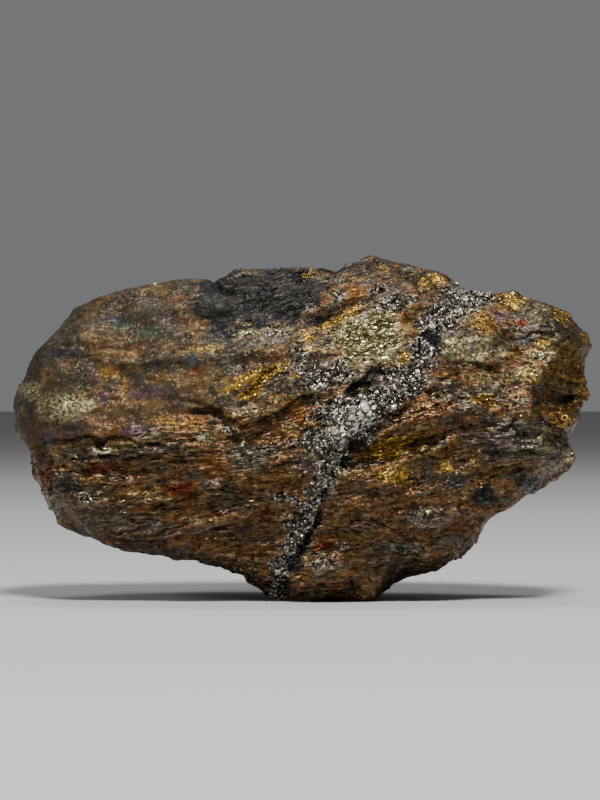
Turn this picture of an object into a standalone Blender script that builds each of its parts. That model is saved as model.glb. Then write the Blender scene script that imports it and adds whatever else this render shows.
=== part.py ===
"""Peacock ore: one rough lump of tarnished bornite and chalcopyrite, foliated like slate.

The stone stands on the small flat spot of its lower long edge, with its broad fresh face towards
-Y. X runs along the stone, Z is up, and the origin is on the flat spot, under the middle of the
stone. Lengths below are in millimetres, and the mesh is scaled to metres at the end.
"""

import math

import bpy
import numpy as np
from mathutils import Matrix, Vector, noise

# Driving dimensions, in millimetres.
LENGTH = 140.0
HEIGHT = 82.5
FRONT_DEPTH = 31.0
BACK_DEPTH = 31.0
MM = 0.001

# The outline of the broad face, as X and Z. It is star-shaped about OUTLINE_CENTRE, and dips
# under the base plane where the flat spot is cut.
OUTLINE_CENTRE = (0.0, 41.5)
OUTLINE = [
    (-68.5, 41.0), (-66.5, 34.5), (-65.5, 28.5), (-61.5, 21.0), (-59.0, 16.5), (-49.0, 12.0),
    (-42.0, 9.5), (-32.5, 9.5), (-24.5, 8.0), (-19.5, 6.0), (-14.0, 3.5), (-7.0, -1.0),
    (-3.0, -2.5), (6.0, -3.5), (13.0, -2.5), (17.5, -1.0), (23.5, 4.0), (33.0, 7.0),
    (37.5, 9.0), (42.5, 16.0), (47.0, 20.5), (51.5, 23.0), (58.5, 26.0), (63.5, 30.0),
    (64.5, 33.5), (63.0, 38.0), (65.5, 42.0), (67.0, 48.0), (68.0, 57.0), (70.0, 60.5),
    (67.5, 64.5), (64.5, 68.5), (60.0, 72.0), (51.0, 74.5), (40.5, 74.5), (33.0, 79.5),
    (22.5, 80.5), (15.0, 82.5), (8.0, 78.5), (-1.0, 79.5), (-10.0, 78.5), (-15.0, 79.5),
    (-21.5, 76.5), (-35.0, 76.0), (-49.0, 73.0), (-55.5, 69.5), (-60.0, 62.0), (-65.0, 56.5),
    (-68.0, 50.5), (-70.0, 45.5),
]
FRONT_FULLNESS = 2.7
BACK_FULLNESS = 2.5

# The outline's points stand out this near the middle plane. In front of it and behind it they
# are rounded off over these turns, in radians.
RIM_BAND = 9.0
ROUNDING_TURNS = (-0.24, -0.16, -0.08, 0.0, 0.08, 0.16, 0.24)

# Cleaved faces of the front: a point on each, its outward direction, and how far in from the
# next face its edge is worn round.
FRONT_FACETS = {
    "upper left": ((-40, -26.5, 38), (-0.10, -1.0, 0.36), 1.2),
    "upper middle": ((0, -28.5, 46), (0.05, -1.0, 0.48), 1.5),
    "upper right": ((40, -25.5, 46), (0.12, -1.0, 0.50), 1.2),
    "lower left": ((-40, -26.5, 37), (-0.05, -1.0, -0.32), 1.2),
    "lower middle": ((-5, -27.0, 30), (0.02, -1.0, -0.18), 1.5),
    "lower right": ((36, -25.5, 38), (0.17, -1.0, -0.30), 1.2),
    "left end": ((-60, -20.0, 45), (-0.95, -1.0, 0.05), 1.5),
    "left shoulder": ((-55, -13.0, 64), (-0.75, -1.0, 0.90), 2.0),
    "top": ((-12, -17.0, 72), (-0.05, -1.0, 1.35), 1.5),
    "top right": ((46, -13.5, 68), (0.20, -1.0, 1.10), 1.5),
    "underside": ((-35, -19.0, 14), (-0.40, -1.0, -1.50), 1.5),
    "lower right bevel": ((46, -19.0, 20), (0.55, -1.0, -1.00), 2.0),
    "foot": ((4, -18.5, 5), (0.05, -1.0, -0.95), 1.5),
}
BACK_FACETS = {
    "back left": ((-22, 27.0, 48), (-0.20, 1.0, 0.26), 1.5),
    "back right": ((28, 26.0, 44), (0.34, 1.0, 0.10), 1.5),
    "back low": ((4, 26.0, 22), (0.06, 1.0, -0.52), 1.5),
    "back left end": ((-52, 17.0, 38), (-0.90, 1.0, -0.15), 2.0),
    "back right end": ((54, 15.0, 50), (0.80, 1.0, 0.20), 2.0),
    "back top": ((4, 17.0, 73), (0.10, 1.0, 1.10), 2.0),
    "back left underside": ((-36, 19.0, 16), (-0.25, 1.0, -1.10), 2.0),
    "back right underside": ((40, 17.0, 18), (0.50, 1.0, -1.00), 2.0),
}

# Chips broken out of the front, each by two faces that meet in a valley: a point on each face and
# its slope, as depth gained for each millimetre along X and Z.
CHIPS = {
    "right end": (((50.6, -23.4, 47.5), (1.15, -0.36)), ((55.0, -21.5, 45.3), (1.30, 1.00))),
    "left foot": (((-61.0, -14.0, 30.0), (-0.55, -0.20)), ((-60.6, -21.0, 30.0), (-3.2, 0.50))),
}

# Broken ledges on the front. The stone drops by "step" on the right-hand side of the line,
# walking along its points, and comes back to its old level over "recovery".
LEDGES = {
    "left brow": ([(-62.5, 37.4), (-55.8, 36.9), (-51.9, 38.3), (-46.2, 38.6), (-41.3, 37.4),
                   (-34.6, 36.4), (-27.3, 36.4)], 1.9, 8.0),
    "left second": ([(-59.9, 34.5), (-50.2, 32.8), (-41.8, 33.5), (-33.4, 33.3), (-24.9, 34.2)],
                    1.4, 7.0),
    "left low": ([(-57.0, 29.0), (-48.0, 27.4), (-38.0, 28.4), (-30.0, 30.4)], 1.0, 6.0),
    "lump foot": ([(-27.0, 45.8), (-20.1, 43.9), (-14.8, 40.5), (-8.6, 41.7), (-3.7, 44.3),
                   (1.6, 48.2), (7.6, 48.0)], 3.0, 10.0),
    "gold crack": ([(-14.5, 47.5), (-10.5, 51.5), (-5.0, 56.5)], 0.9, 4.0),
    "vein foot": ([(9.8, 31.3), (11.2, 36.6), (15.5, 39.5), (21.6, 43.9), (26.5, 47.5)], 2.6, 8.0),
    "block top": ([(43.0, 40.0), (34.1, 38.8), (26.9, 36.1), (19.6, 33.7), (10.7, 31.8)], 1.8, 6.0),
    "right seam": ([(30.5, 41.7), (36.5, 42.7), (43.0, 41.5), (48.6, 40.5)], 1.2, 5.0),
    "upper right seam": ([(31.9, 52.8), (40.1, 54.7), (47.3, 54.5), (50.7, 53.5)], 1.2, 5.0),
    "top right seam": ([(46.5, 65.0), (49.3, 63.1), (54.1, 62.9), (60.1, 63.4)], 1.2, 5.0),
    "charcoal lump": ([(-22.5, 78.0), (-20.6, 74.0), (-15.5, 72.6), (-8.0, 71.0)], 1.6, 6.0),
    "bottom seam": ([(5.9, 16.4), (11.7, 16.1), (15.5, 13.7)], 1.2, 4.0),
    "top seam": ([(-4.0, 66.0), (5.0, 67.0), (14.0, 70.5)], 1.2, 5.0),
}

# Bulges and hollows of the front: X and Z, radii along X and Z, and height.
BULGES = {
    "central lump": (-4.0, 56.0, 25.0, 12.0, 2.0),
    "lower left lump": (-52.5, 22.0, 10.0, 6.0, 2.2),
    "vein boss": (14.0, 44.5, 7.0, 5.0, 1.8),
    "block": (20.0, 22.0, 20.0, 12.0, 1.6),
    "bottom lump": (4.5, 7.0, 10.0, 6.0, 2.0),
    "right lobe": (57.0, 35.0, 9.0, 8.0, 2.4),
    "upper right knob": (56.0, 67.0, 9.0, 6.0, 1.6),
    "left knob": (-68.0, 44.5, 3.0, 3.4, 3.0),
    "left groove": (-64.5, 43.0, 2.4, 7.0, -2.4),
    "vein pit": (13.0, 49.2, 4.5, 2.6, -2.4),
    "vein channel": (17.5, 53.5, 3.0, 5.0, -1.4),
    "left hollow": (-36.0, 30.0, 16.0, 5.0, -0.9),
}

# Foliation: the laminae run nearly level, and climb to the right through the middle.
FOLIATION_CLIMB = 9.0
FOLIATION_START_X = -46.0
FOLIATION_END_X = 8.0
FOLIATION_DIP_BACK = 0.16

# Laminae that break off as small steps, as pitch and lip. Each lip is sharp over LIP_SHARE of its
# pitch, wavers by LAMINA_WAVER pitches, and shows in patches a few pitches across.
LAMINAE = [(9.5, 1.4), (4.8, 0.9)]
LIP_SHARE = 0.16
LAMINA_WAVER = 0.8
WAVER_PITCHES = 3.0
PATCH_PITCHES = 3.2
LEVEL_PITCHES = 4.0
PATCH_EDGE = (-0.1, 0.35)

# Lumps of broken ore, as size and height. They are set down by RIM_DROP where the face turns away
# at the rim, so that they don't stand out past the outline.
LUMPS = [(34.0, 2.2), (14.0, 1.6), (6.5, 0.8)]
RIM_DROP = 1.0
FACING_EDGE = (0.15, 0.6)

# How sharp a ledge is, how its line wavers, as size and distance, and how its ends run out.
LEDGE_EDGE = 0.6
LEDGE_WAVERS = [(9.0, 1.4), (3.5, 0.6)]
LEDGE_END_FADE = 5.0
LEDGE_END_STEP = 0.1

# How the mesh is made: its points, the thinnest rim, the voxels of its skin, and what is kept.
SPHERE_SUBDIVISIONS = 7
LEAST_DEPTH_SHARE = 0.45
VOXEL = 0.75
KEPT_SHARE = 0.062
BASE_SNAP = 0.06


def smooth(low, high, value):
    """0 at low, 1 at high, and an S-curve between them."""
    t = np.clip((value - low) / (high - low), 0.0, 1.0)
    return t * t * (3.0 - 2.0 * t)


def noise_at(points, size, seed):
    """Smooth noise at each point, with features of this size."""
    shift = Vector((3.7 * seed, 1.9 + seed, 8.3))
    return np.array([noise.noise(Vector(point) / size + shift) for point in points])


def outline_radius(angles):
    """How far the outline is from its centre at these angles, along its straight edges."""
    angles = (angles + math.pi) % (2 * math.pi) - math.pi
    offsets = np.array(OUTLINE) - OUTLINE_CENTRE
    ring_angles = np.arctan2(offsets[:, 1], offsets[:, 0])
    order = np.argsort(ring_angles)
    ring_angles = ring_angles[order]
    ring = np.hypot(offsets[:, 0], offsets[:, 1])[order]
    after = np.searchsorted(ring_angles, angles) % len(ring)
    before = after - 1
    span = (ring_angles[after] - ring_angles[before]) % (2 * math.pi)
    gone = (angles - ring_angles[before]) % (2 * math.pi)
    # A ray meets the straight edge between two ring points at this radius, by the sine rule.
    across = ring[before] * np.sin(gone) + ring[after] * np.sin(span - gone)
    return ring[before] * ring[after] * np.sin(span) / across


def pillow(directions, front):
    """The rounded block that the stone was broken from."""
    across = np.hypot(directions[:, 0], directions[:, 2])
    angles = np.arctan2(directions[:, 2], directions[:, 0])
    power = 2 / np.where(front, FRONT_FULLNESS, BACK_FULLNESS)
    half = np.where(front, -FRONT_DEPTH, BACK_DEPTH)
    depth = half * np.abs(directions[:, 1]) ** power
    outline = outline_radius(angles)
    rounded = np.mean([outline_radius(angles + turn) for turn in ROUNDING_TURNS], axis=0)
    away = 1.0 - np.exp(-(depth / RIM_BAND) ** 2)
    reach = (outline - away * np.maximum(outline - rounded, 0.0)) * across ** power
    x = OUTLINE_CENTRE[0] + reach * np.cos(angles)
    z = OUTLINE_CENTRE[1] + reach * np.sin(angles)
    return np.column_stack((x, depth, z))


def plane_depth(points, place, slope):
    """The Y of a sloping plane at each point's X and Z."""
    return place[1] + (points[:, 0] - place[0]) * slope[0] + (points[:, 2] - place[2]) * slope[1]


def worn_max(first, second, wear):
    """The larger of two depths, with the edge between them worn round."""
    over = second - first
    blend = (over + wear) ** 2 / (4 * wear)
    return first + np.where(over > wear, over, np.where(over > -wear, blend, 0.0))


def cleave(points, front):
    """Sets every point back to the cleaved faces and into the chips, but never to a thin edge."""
    depth = np.abs(points[:, 1])
    least = LEAST_DEPTH_SHARE * depth
    sides = ((FRONT_FACETS, front, -1.0), (BACK_FACETS, ~front, 1.0))
    for facets, side, sign in sides:
        for place, outward, wear in facets.values():
            slope = (-outward[0] / outward[1], -outward[2] / outward[1])
            limit = sign * plane_depth(points, place, slope)
            depth = np.where(side, -worn_max(-depth, -limit, wear), depth)
    for (place, slope), (wall_place, wall_slope) in CHIPS.values():
        floor = -plane_depth(points, place, slope)
        wall = -plane_depth(points, wall_place, wall_slope)
        depth = np.where(front, np.minimum(depth, np.maximum(floor, wall)), depth)
    points[:, 1] = np.where(front, -1.0, 1.0) * np.maximum(depth, least)


def line_place(points, line):
    """Each point's distance from a line on the front, positive on the line's right-hand side, its
    share of the way along, and how far it lies past either end."""
    places = points[:, [0, 2]]
    nearest = np.full(len(points), np.inf)
    offset = np.zeros(len(points))
    share = np.zeros(len(points))
    count = len(line) - 1
    for i in range(count):
        start = np.array(line[i])
        along = np.array(line[i + 1]) - start
        t = np.clip((places - start) @ along / (along @ along), 0.0, 1.0)
        away = places - start - t[:, None] * along
        distance = np.hypot(away[:, 0], away[:, 1])
        closer = distance < nearest
        side = np.sign(along[1] * away[:, 0] - along[0] * away[:, 1])
        nearest = np.where(closer, distance, nearest)
        offset = np.where(closer, distance * side, offset)
        share = np.where(closer, (i + t) / count, share)
    ends = ((np.array(line[0]), np.array(line[1])), (np.array(line[-1]), np.array(line[-2])))
    past = np.zeros(len(points))
    for end, inner in ends:
        outward = (end - inner) / np.hypot(*(end - inner))
        past = np.maximum(past, (places - end) @ outward)
    return offset, share, past


def ledge_drop(points):
    """How far the front is set back at each point by the ledges above it."""
    drop = np.zeros(len(points))
    waver = sum(distance * noise_at(points, size, number + 11)
                for number, (size, distance) in enumerate(LEDGE_WAVERS))
    for line, step, recovery in LEDGES.values():
        offset, share, past = line_place(points, line)
        offset = offset + waver
        fade = np.minimum(1.0, LEDGE_END_FADE * share * (1.0 - share) + LEDGE_END_STEP)
        reach = smooth(recovery, 0.0, past) * smooth(recovery, LEDGE_EDGE, offset)
        drop += step * fade * reach * smooth(-LEDGE_EDGE, LEDGE_EDGE, offset)
    return drop


def bulge_height(points):
    """How far the bulges lift the front at each point. It is negative in a hollow."""
    height = np.zeros(len(points))
    for x, z, x_radius, z_radius, rise in BULGES.values():
        away = np.hypot((points[:, 0] - x) / x_radius, (points[:, 2] - z) / z_radius)
        height += rise * smooth(1.0, 0.0, away)
    return height


def foliation(points):
    """The height of the lamina through each point, measured at the stone's left end."""
    climb = FOLIATION_CLIMB * smooth(FOLIATION_START_X, FOLIATION_END_X, points[:, 0])
    return points[:, 2] - climb + FOLIATION_DIP_BACK * points[:, 1]


def lamina_relief(points):
    """Broken laminae, like roof tiles laid upside down: each stands out most at its lower lip."""
    relief = np.zeros(len(points))
    layers = foliation(points)
    for number, (pitch, lip) in enumerate(LAMINAE):
        turns = layers / pitch + LAMINA_WAVER * noise_at(points, pitch * WAVER_PITCHES, number)
        level = np.floor(turns)
        share = turns - level
        patches = np.column_stack((points[:, 0], points[:, 1], level * pitch * LEVEL_PITCHES))
        shown = smooth(*PATCH_EDGE, noise_at(patches, pitch * PATCH_PITCHES, number + 5))
        relief += lip * shown * smooth(0.0, LIP_SHARE, share) * (1.0 - share)
    return relief


def lump_relief(points):
    """Uneven lumps of every size, as broken ore has."""
    return sum(height * noise_at(points, size, number + 20)
               for number, (size, height) in enumerate(LUMPS))


def mesh_points(mesh, attribute):
    """The mesh's points or their normals as rows of numbers."""
    rows = np.empty(3 * len(mesh.vertices))
    mesh.vertices.foreach_get(attribute, rows)
    return rows.reshape(-1, 3)


def carve_stone(mesh):
    """Moves a unit sphere's points to the stone's surface, in millimetres."""
    points = mesh_points(mesh, "co")
    front = points[:, 1] < 0
    points = pillow(points, front)
    cleave(points, front)
    mesh.vertices.foreach_set("co", points.ravel())
    mesh.update()
    normals = mesh_points(mesh, "normal")
    facing = smooth(*FACING_EDGE, -normals[:, 1])
    set_back = facing * (ledge_drop(points) - bulge_height(points))
    rim = smooth(FACING_EDGE[1], 0.0, np.abs(normals[:, 1]))
    relief = lamina_relief(points) + lump_relief(points) - RIM_DROP * rim
    points += normals * relief[:, None]
    points[:, 1] += set_back
    mesh.vertices.foreach_set("co", (points * MM).ravel())
    mesh.update()


def bake(stone):
    """Makes the result of the stone's modifiers its own mesh."""
    graph = bpy.context.evaluated_depsgraph_get()
    mesh = bpy.data.meshes.new_from_object(stone.evaluated_get(graph))
    stone.modifiers.clear()
    stone.data = mesh


def flatten_base(mesh, height):
    """Sets every point below this height on the base plane."""
    points = mesh_points(mesh, "co")
    points[:, 2] = np.where(points[:, 2] < height * MM, 0.0, points[:, 2])
    mesh.vertices.foreach_set("co", points.ravel())
    mesh.update()


def finish_solid(stone):
    """Joins the surface into one even skin, cuts its base, and thins it where it is flat."""
    even = stone.modifiers.new("even_skin", "REMESH")
    even.mode = "VOXEL"
    even.voxel_size = VOXEL * MM
    bake(stone)
    flatten_base(stone.data, 0.0)
    thin = stone.modifiers.new("fewer_faces", "DECIMATE")
    thin.ratio = KEPT_SHARE
    bake(stone)
    flatten_base(stone.data, BASE_SNAP)


def fit_to_size(mesh):
    """Scales the stone to its driving sizes, and centres it over the origin with its base at 0."""
    points = mesh_points(mesh, "co")
    low = points.min(axis=0)
    high = points.max(axis=0)
    middle = Vector((low + high) / 2)
    middle.z = low[2]
    size = high - low
    scale = Vector((LENGTH * MM / size[0], 1.0, HEIGHT * MM / size[2]))
    mesh.transform(Matrix.Diagonal(scale).to_4x4() @ Matrix.Translation(-middle))


def ore_material():
    """Tarnished sulphide ore: dark bronze brown with a half-metallic shine."""
    material = bpy.data.materials.new("tarnished_ore")
    material.use_nodes = True
    shader = material.node_tree.nodes["Principled BSDF"]
    shader.inputs["Base Color"].default_value = (0.105, 0.075, 0.042, 1.0)
    shader.inputs["Metallic"].default_value = 0.6
    shader.inputs["Roughness"].default_value = 0.45
    return material


def make_stone(collection):
    """The ore itself, one solid."""
    bpy.ops.mesh.primitive_ico_sphere_add(subdivisions=SPHERE_SUBDIVISIONS, radius=1.0)
    stone = bpy.context.object
    stone.name = "peacock_ore"
    for owner in list(stone.users_collection):
        owner.objects.unlink(stone)
    collection.objects.link(stone)
    carve_stone(stone.data)
    finish_solid(stone)
    fit_to_size(stone.data)
    stone.data.name = stone.name
    stone.data.materials.append(ore_material())


def main():
    for old in list(bpy.data.objects):
        bpy.data.objects.remove(old)
    collection = bpy.data.collections.new("peacock_ore_specimen")
    bpy.context.scene.collection.children.link(collection)
    make_stone(collection)


main()
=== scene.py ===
"""Peacock ore: a hand-sized lump of tarnished copper ore, standing on its small flat spot.

Lengths are in millimetres until a mesh is filled, and its points are then set in metres.
"""

import itertools
import math

import bmesh
import bpy
import numpy as np
from mathutils import Matrix, Vector


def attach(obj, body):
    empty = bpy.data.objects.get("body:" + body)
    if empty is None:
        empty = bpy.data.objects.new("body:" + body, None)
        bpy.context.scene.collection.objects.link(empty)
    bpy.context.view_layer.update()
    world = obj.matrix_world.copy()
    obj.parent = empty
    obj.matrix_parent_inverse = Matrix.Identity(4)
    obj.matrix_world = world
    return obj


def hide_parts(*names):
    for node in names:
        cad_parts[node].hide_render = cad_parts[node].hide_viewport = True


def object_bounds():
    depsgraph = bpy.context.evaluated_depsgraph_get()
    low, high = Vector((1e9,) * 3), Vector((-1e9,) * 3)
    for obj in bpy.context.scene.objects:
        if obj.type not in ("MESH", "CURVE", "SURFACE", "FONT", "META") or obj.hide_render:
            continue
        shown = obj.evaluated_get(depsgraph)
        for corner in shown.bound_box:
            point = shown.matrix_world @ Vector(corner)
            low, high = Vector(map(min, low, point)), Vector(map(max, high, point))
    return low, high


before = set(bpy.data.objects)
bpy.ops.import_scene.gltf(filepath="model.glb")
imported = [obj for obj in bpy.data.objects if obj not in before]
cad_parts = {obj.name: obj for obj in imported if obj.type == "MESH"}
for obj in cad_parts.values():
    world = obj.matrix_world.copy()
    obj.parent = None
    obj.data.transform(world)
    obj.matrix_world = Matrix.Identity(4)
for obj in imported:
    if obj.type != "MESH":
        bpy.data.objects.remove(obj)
cad_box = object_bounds()


# The stone. It is one lump of bornite and chalcopyrite, foliated like slate and broken out with a
# hammer, so its skin is torn layers with lips, ledges and cracks between them. A vein of silvery
# crystals crosses it, and the air has tarnished the rest bronze, rust, violet, blue and green.
MM = 0.001
CAD_LOW = np.array(cad_box[0]) / MM
CAD_HIGH = np.array(cad_box[1]) / MM
STONE_TRIANGLES = 190000

# The skin: points this close are one, the size of its faces, how often it is rounded, how deep
# it starts under the solid's surface, and the height below which its base is flat.
WELD = 0.001 * MM
SKIN_FACE = 0.5 * MM
SKIN_ROUNDING = 6
SKIN_DEPTH = 0.5
FLAT_BELOW = 0.08

# How often the skin is evened before it shows where it lies low, for small and for large hollows.
PIT_ROUNDS = 6
HOLLOW_ROUNDS = 40

# The laminae: how far apart they lie, and how high their torn lips stand. The other forms of the
# break have a size, a height and a seed.
LAMINAE = [(3.6, 0.56), (2, 0.34), (7.6, 0.62)]
SPLINTER_RIDGE = 0.2
LUMPS = [(3.2, 0.38, 13), (1.5, 0.22, 14)]
FACETS = [(2.3, 0.42, 15), (1.2, 0.22, 17)]
CRACK_SWAY = [(2.6, 0.45, 41), (1.1, 0.22, 42)]

# The brow that crosses the broad face: its height at X 0, and its climb to the right.
BROW_HEIGHT = 48.0
BROW_CLIMB = 0.18

# The broad face was read from this far in front of the stone, and from this side and height.
VIEW_DISTANCE = 750.0
VIEW_SIDE = -0.84
VIEW_HEIGHT = 47.7

# Which way the torn fibres run on the broad face: X, Z, and their climb to the right in degrees.
FIBRE_CLIMBS = [
    (-51.5, 67, -2), (-37, 67, 2), (-58.5, 52.5, 3), (-44, 55, 0), (-32, 56, 8), (-17.5, 74, 4),
    (-3.5, 74, 12), (-21.5, 61, 6), (-13, 63.5, 14), (-58.5, 40.5, -2), (-46.5, 41.5, 4),
    (-34.5, 40.5, -6), (-51.5, 34.5, 0), (-37, 34.5, 2), (-27.5, 41.5, -8), (-25, 34.5, 2),
    (-58.5, 23.5, -12), (-51.5, 27, -4), (-42, 26, 4), (-37, 19, 10), (-25, 19, 13),
    (-15.5, 28.5, 10), (-17.5, 35.5, 3), (-14, 13, -4), (-8, 6.5, -8), (-3.5, 19, 4), (-10, 52, 42),
    (-14, 49, 34), (-3.5, 58.5, 38), (-1, 53.5, 30), (-8, 45.5, 12), (0.5, 45.5, 30),
    (-19, 47.5, 12), (10, 69.5, 33), (4, 66, 25), (17, 74, 25), (15.5, 62, 24), (23.5, 72, 20),
    (30.5, 76.5, 12), (6.5, 38, 10), (14, 44, 18), (23.5, 50, 28), (28, 60, 30), (35.5, 69.5, 15),
    (47.5, 69.5, -20), (54.5, 68, -28), (47.5, 61, -4), (42.5, 56, 8), (35.5, 50, 4),
    (47.5, 51.5, 6), (18.5, 35.5, 17), (28, 38, 14), (35.5, 40.5, 12), (47.5, 45.5, 10),
    (57, 47.5, 25), (63, 55, 33), (65.5, 60, 30), (62, 43, -10), (58, 37, -25), (47.5, 35.5, -4),
    (37.5, 33.5, 2), (9, 26, 2), (16, 21, -3), (23.5, 23.5, 0), (13.5, 14, -16), (23.5, 11.5, -14),
    (6.5, 9, -12), (33, 21, -4), (37.5, 14, 10), (47.5, 26, 6), (28, 4.5, 8), (1.5, 4.5, -6),
]
FIBRE_REACH = 8.0

# The map of the layers: its step, its left and lower edge, its size, and its settling rounds.
LEVEL_STEP = 2.0
LEVEL_LEFT = -76.0
LEVEL_FOOT = -6.0
LEVEL_COLUMNS = 77
LEVEL_ROWS = 49
LEVEL_ROUNDS = 9000

# How much higher a layer lies for each millimetre that it goes back into the stone.
LAYER_DIP_BACK = 0.16

# Cracks and undercut lips of the broad face: depth, half width, and the line as X and Z.
CRACKS = {
    "left brow": (1.3, 0.55, [(-63.5, 38), (-61, 37.5), (-58.5, 37), (-55, 37.5), (-52.5, 38.5),
        (-50.5, 38), (-49, 36.5), (-47, 38), (-44.5, 38.5), (-42, 38), (-39, 36.5), (-36, 36.5),
        (-32, 35.5), (-29.5, 36), (-27, 35)]),
    "left brow low": (0.9, 0.45, [(-61, 35), (-57, 34), (-54, 33), (-50, 33.5), (-47, 34),
        (-44, 33.5), (-40.5, 33), (-37, 33.5), (-32, 33.5), (-27.5, 34.5)]),
    "left third": (0.6, 0.4, [(-58.5, 31), (-52.5, 30), (-46.5, 31), (-39.5, 30), (-33.5, 31)]),
    "centre notch": (1.7, 0.7, [(-27.5, 45), (-25.5, 44.5), (-22.5, 44.5), (-20.5, 44), (-19.5, 43),
        (-17.5, 42.5), (-14.5, 41), (-13, 41)]),
    "lump foot": (0.8, 0.5, [(-11.5, 41), (-9, 43), (-6, 44), (-4, 45), (-1.5, 47.5), (1, 49)]),
    "notch upper": (0.7, 0.4, [(-30, 47), (-28, 47.5), (-26, 47), (-23.5, 46), (-21.5, 45)]),
    "gold crack": (0.9, 0.45, [(-15.5, 48), (-13, 50), (-11.5, 51), (-10, 53), (-8, 55),
        (-6, 56.5)]),
    "pit streak": (0.9, 0.8, [(19, 56.5), (17, 55), (15, 53), (12.5, 50.5), (10.5, 49), (9, 48)]),
    "pit line": (0.8, 0.45, [(9, 47.5), (11, 47), (14, 47.5), (16.5, 47)]),
    "vein foot": (1.8, 1.1, [(27, 46.5), (24.5, 45.5), (22, 44), (20, 42.5), (18.5, 41.5),
        (16.5, 40), (14.5, 39), (13, 38), (12, 36.5)]),
    "vein drop": (1.6, 1.1, [(12, 36.5), (11, 35), (10.5, 33.5), (10, 31.5), (9, 30)]),
    "block top": (0.9, 0.5, [(10, 31.5), (12.5, 32), (15, 33), (18.5, 33), (22.5, 33.5), (26, 34),
        (30, 35), (34, 39)]),
    "right fine a": (0.8, 0.35, [(30, 48), (30.5, 46.5), (34, 46), (36, 47.5), (38, 48.5),
        (42.5, 48.5)]),
    "right fine b": (0.8, 0.35, [(32, 52.5), (34.5, 53), (37, 54), (38.5, 54.5)]),
    "right fine c": (0.7, 0.35, [(36, 56.5), (37.5, 56.5), (40.5, 56.5), (43.5, 55), (48, 54)]),
    "right fine d": (0.6, 0.3, [(40, 49.5), (42.5, 49), (45, 48.5), (48, 49.5)]),
    "right fine e": (0.8, 0.4, [(45, 39), (47.5, 39.5), (49.5, 40.5), (50.5, 42), (51.5, 44)]),
    "right fine f": (0.6, 0.35, [(33.5, 39), (33.5, 37), (33, 36)]),
    "facet top": (0.7, 0.4, [(57, 57), (60, 59.5), (62, 61), (64, 63), (66, 63.5)]),
    "facet foot": (1, 0.6, [(56, 47), (58, 48), (61.5, 47.5), (64.5, 48), (67.5, 48.5)]),
    "lobe top": (1, 0.6, [(57, 45.5), (58, 43.5), (59.5, 41.5), (61, 40.5), (62, 40), (63.5, 38)]),
    "top right seam": (0.9, 0.4, [(47.5, 65.5), (49.5, 63), (51.5, 62), (54, 63), (55.5, 64),
        (57, 64), (60, 63.5), (62.5, 64.5)]),
    "bottom seam": (0.7, 0.4, [(7, 16.5), (10, 16.5), (12, 16), (14, 14.5)]),
    "bottom seam low": (0.5, 0.4, [(2, 12), (4.5, 12.5), (8, 13)]),
    "charcoal notch": (1.2, 0.6, [(-22, 77.5), (-21, 75.5), (-19.5, 74), (-17, 74)]),
    "wedge": (0.9, 0.6, [(-0.5, 66), (3, 66.5), (6, 67.5), (9, 69)]),
    "top seam": (0.6, 0.4, [(10, 68.5), (14.5, 69.5), (17, 70.5), (19, 71.5)]),
    "vein side": (0.8, 0.6, [(5.5, 25.5), (4.5, 23.5), (4, 21.5), (3, 18.5), (2, 15.5), (1, 13.5),
        (-0.5, 12), (-1.5, 10), (-2.5, 8), (-3.5, 6), (-3.5, 4)]),
    "upper left seam": (0.5, 0.35, [(-58.5, 61), (-56.5, 61.5), (-54.5, 61.5), (-52, 60)]),
    "upper left line": (0.5, 0.3, [(-50, 60), (-47, 60.5), (-43.5, 60), (-40.5, 61)]),
    "left groove": (0.2, 0.5, [(-64.5, 47), (-65, 45.5), (-65, 43), (-64.5, 40.5), (-64, 38.5)]),
    "left corner": (0.9, 0.5, [(-61.5, 35), (-61, 33), (-61.5, 29.5), (-61, 26.5)]),
    "silver line": (0.6, 0.35, [(0, 40.5), (2.5, 41.5), (5.5, 41.5), (8.5, 41)]),
    "low waver a": (0.6, 0.35, [(-46.5, 20.5), (-42, 22), (-37, 21), (-31.5, 23)]),
    "low waver b": (0.6, 0.35, [(-28.5, 23.5), (-25, 25), (-21.5, 25.5), (-17, 27)]),
    "low waver c": (0.6, 0.35, [(-23.5, 15.5), (-19, 17), (-13, 18), (-7, 19)]),
    "low waver d": (0.5, 0.3, [(-21.5, 9), (-15.5, 9), (-10, 7.5), (-5, 6.5)]),
    "block waver": (0.6, 0.35, [(6.5, 24.5), (11.5, 25), (18.5, 24.5), (23.5, 25)]),
    "block waver low": (0.6, 0.35, [(15, 19), (19, 17.5), (23, 15.5), (26, 13.5)]),
}

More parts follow.
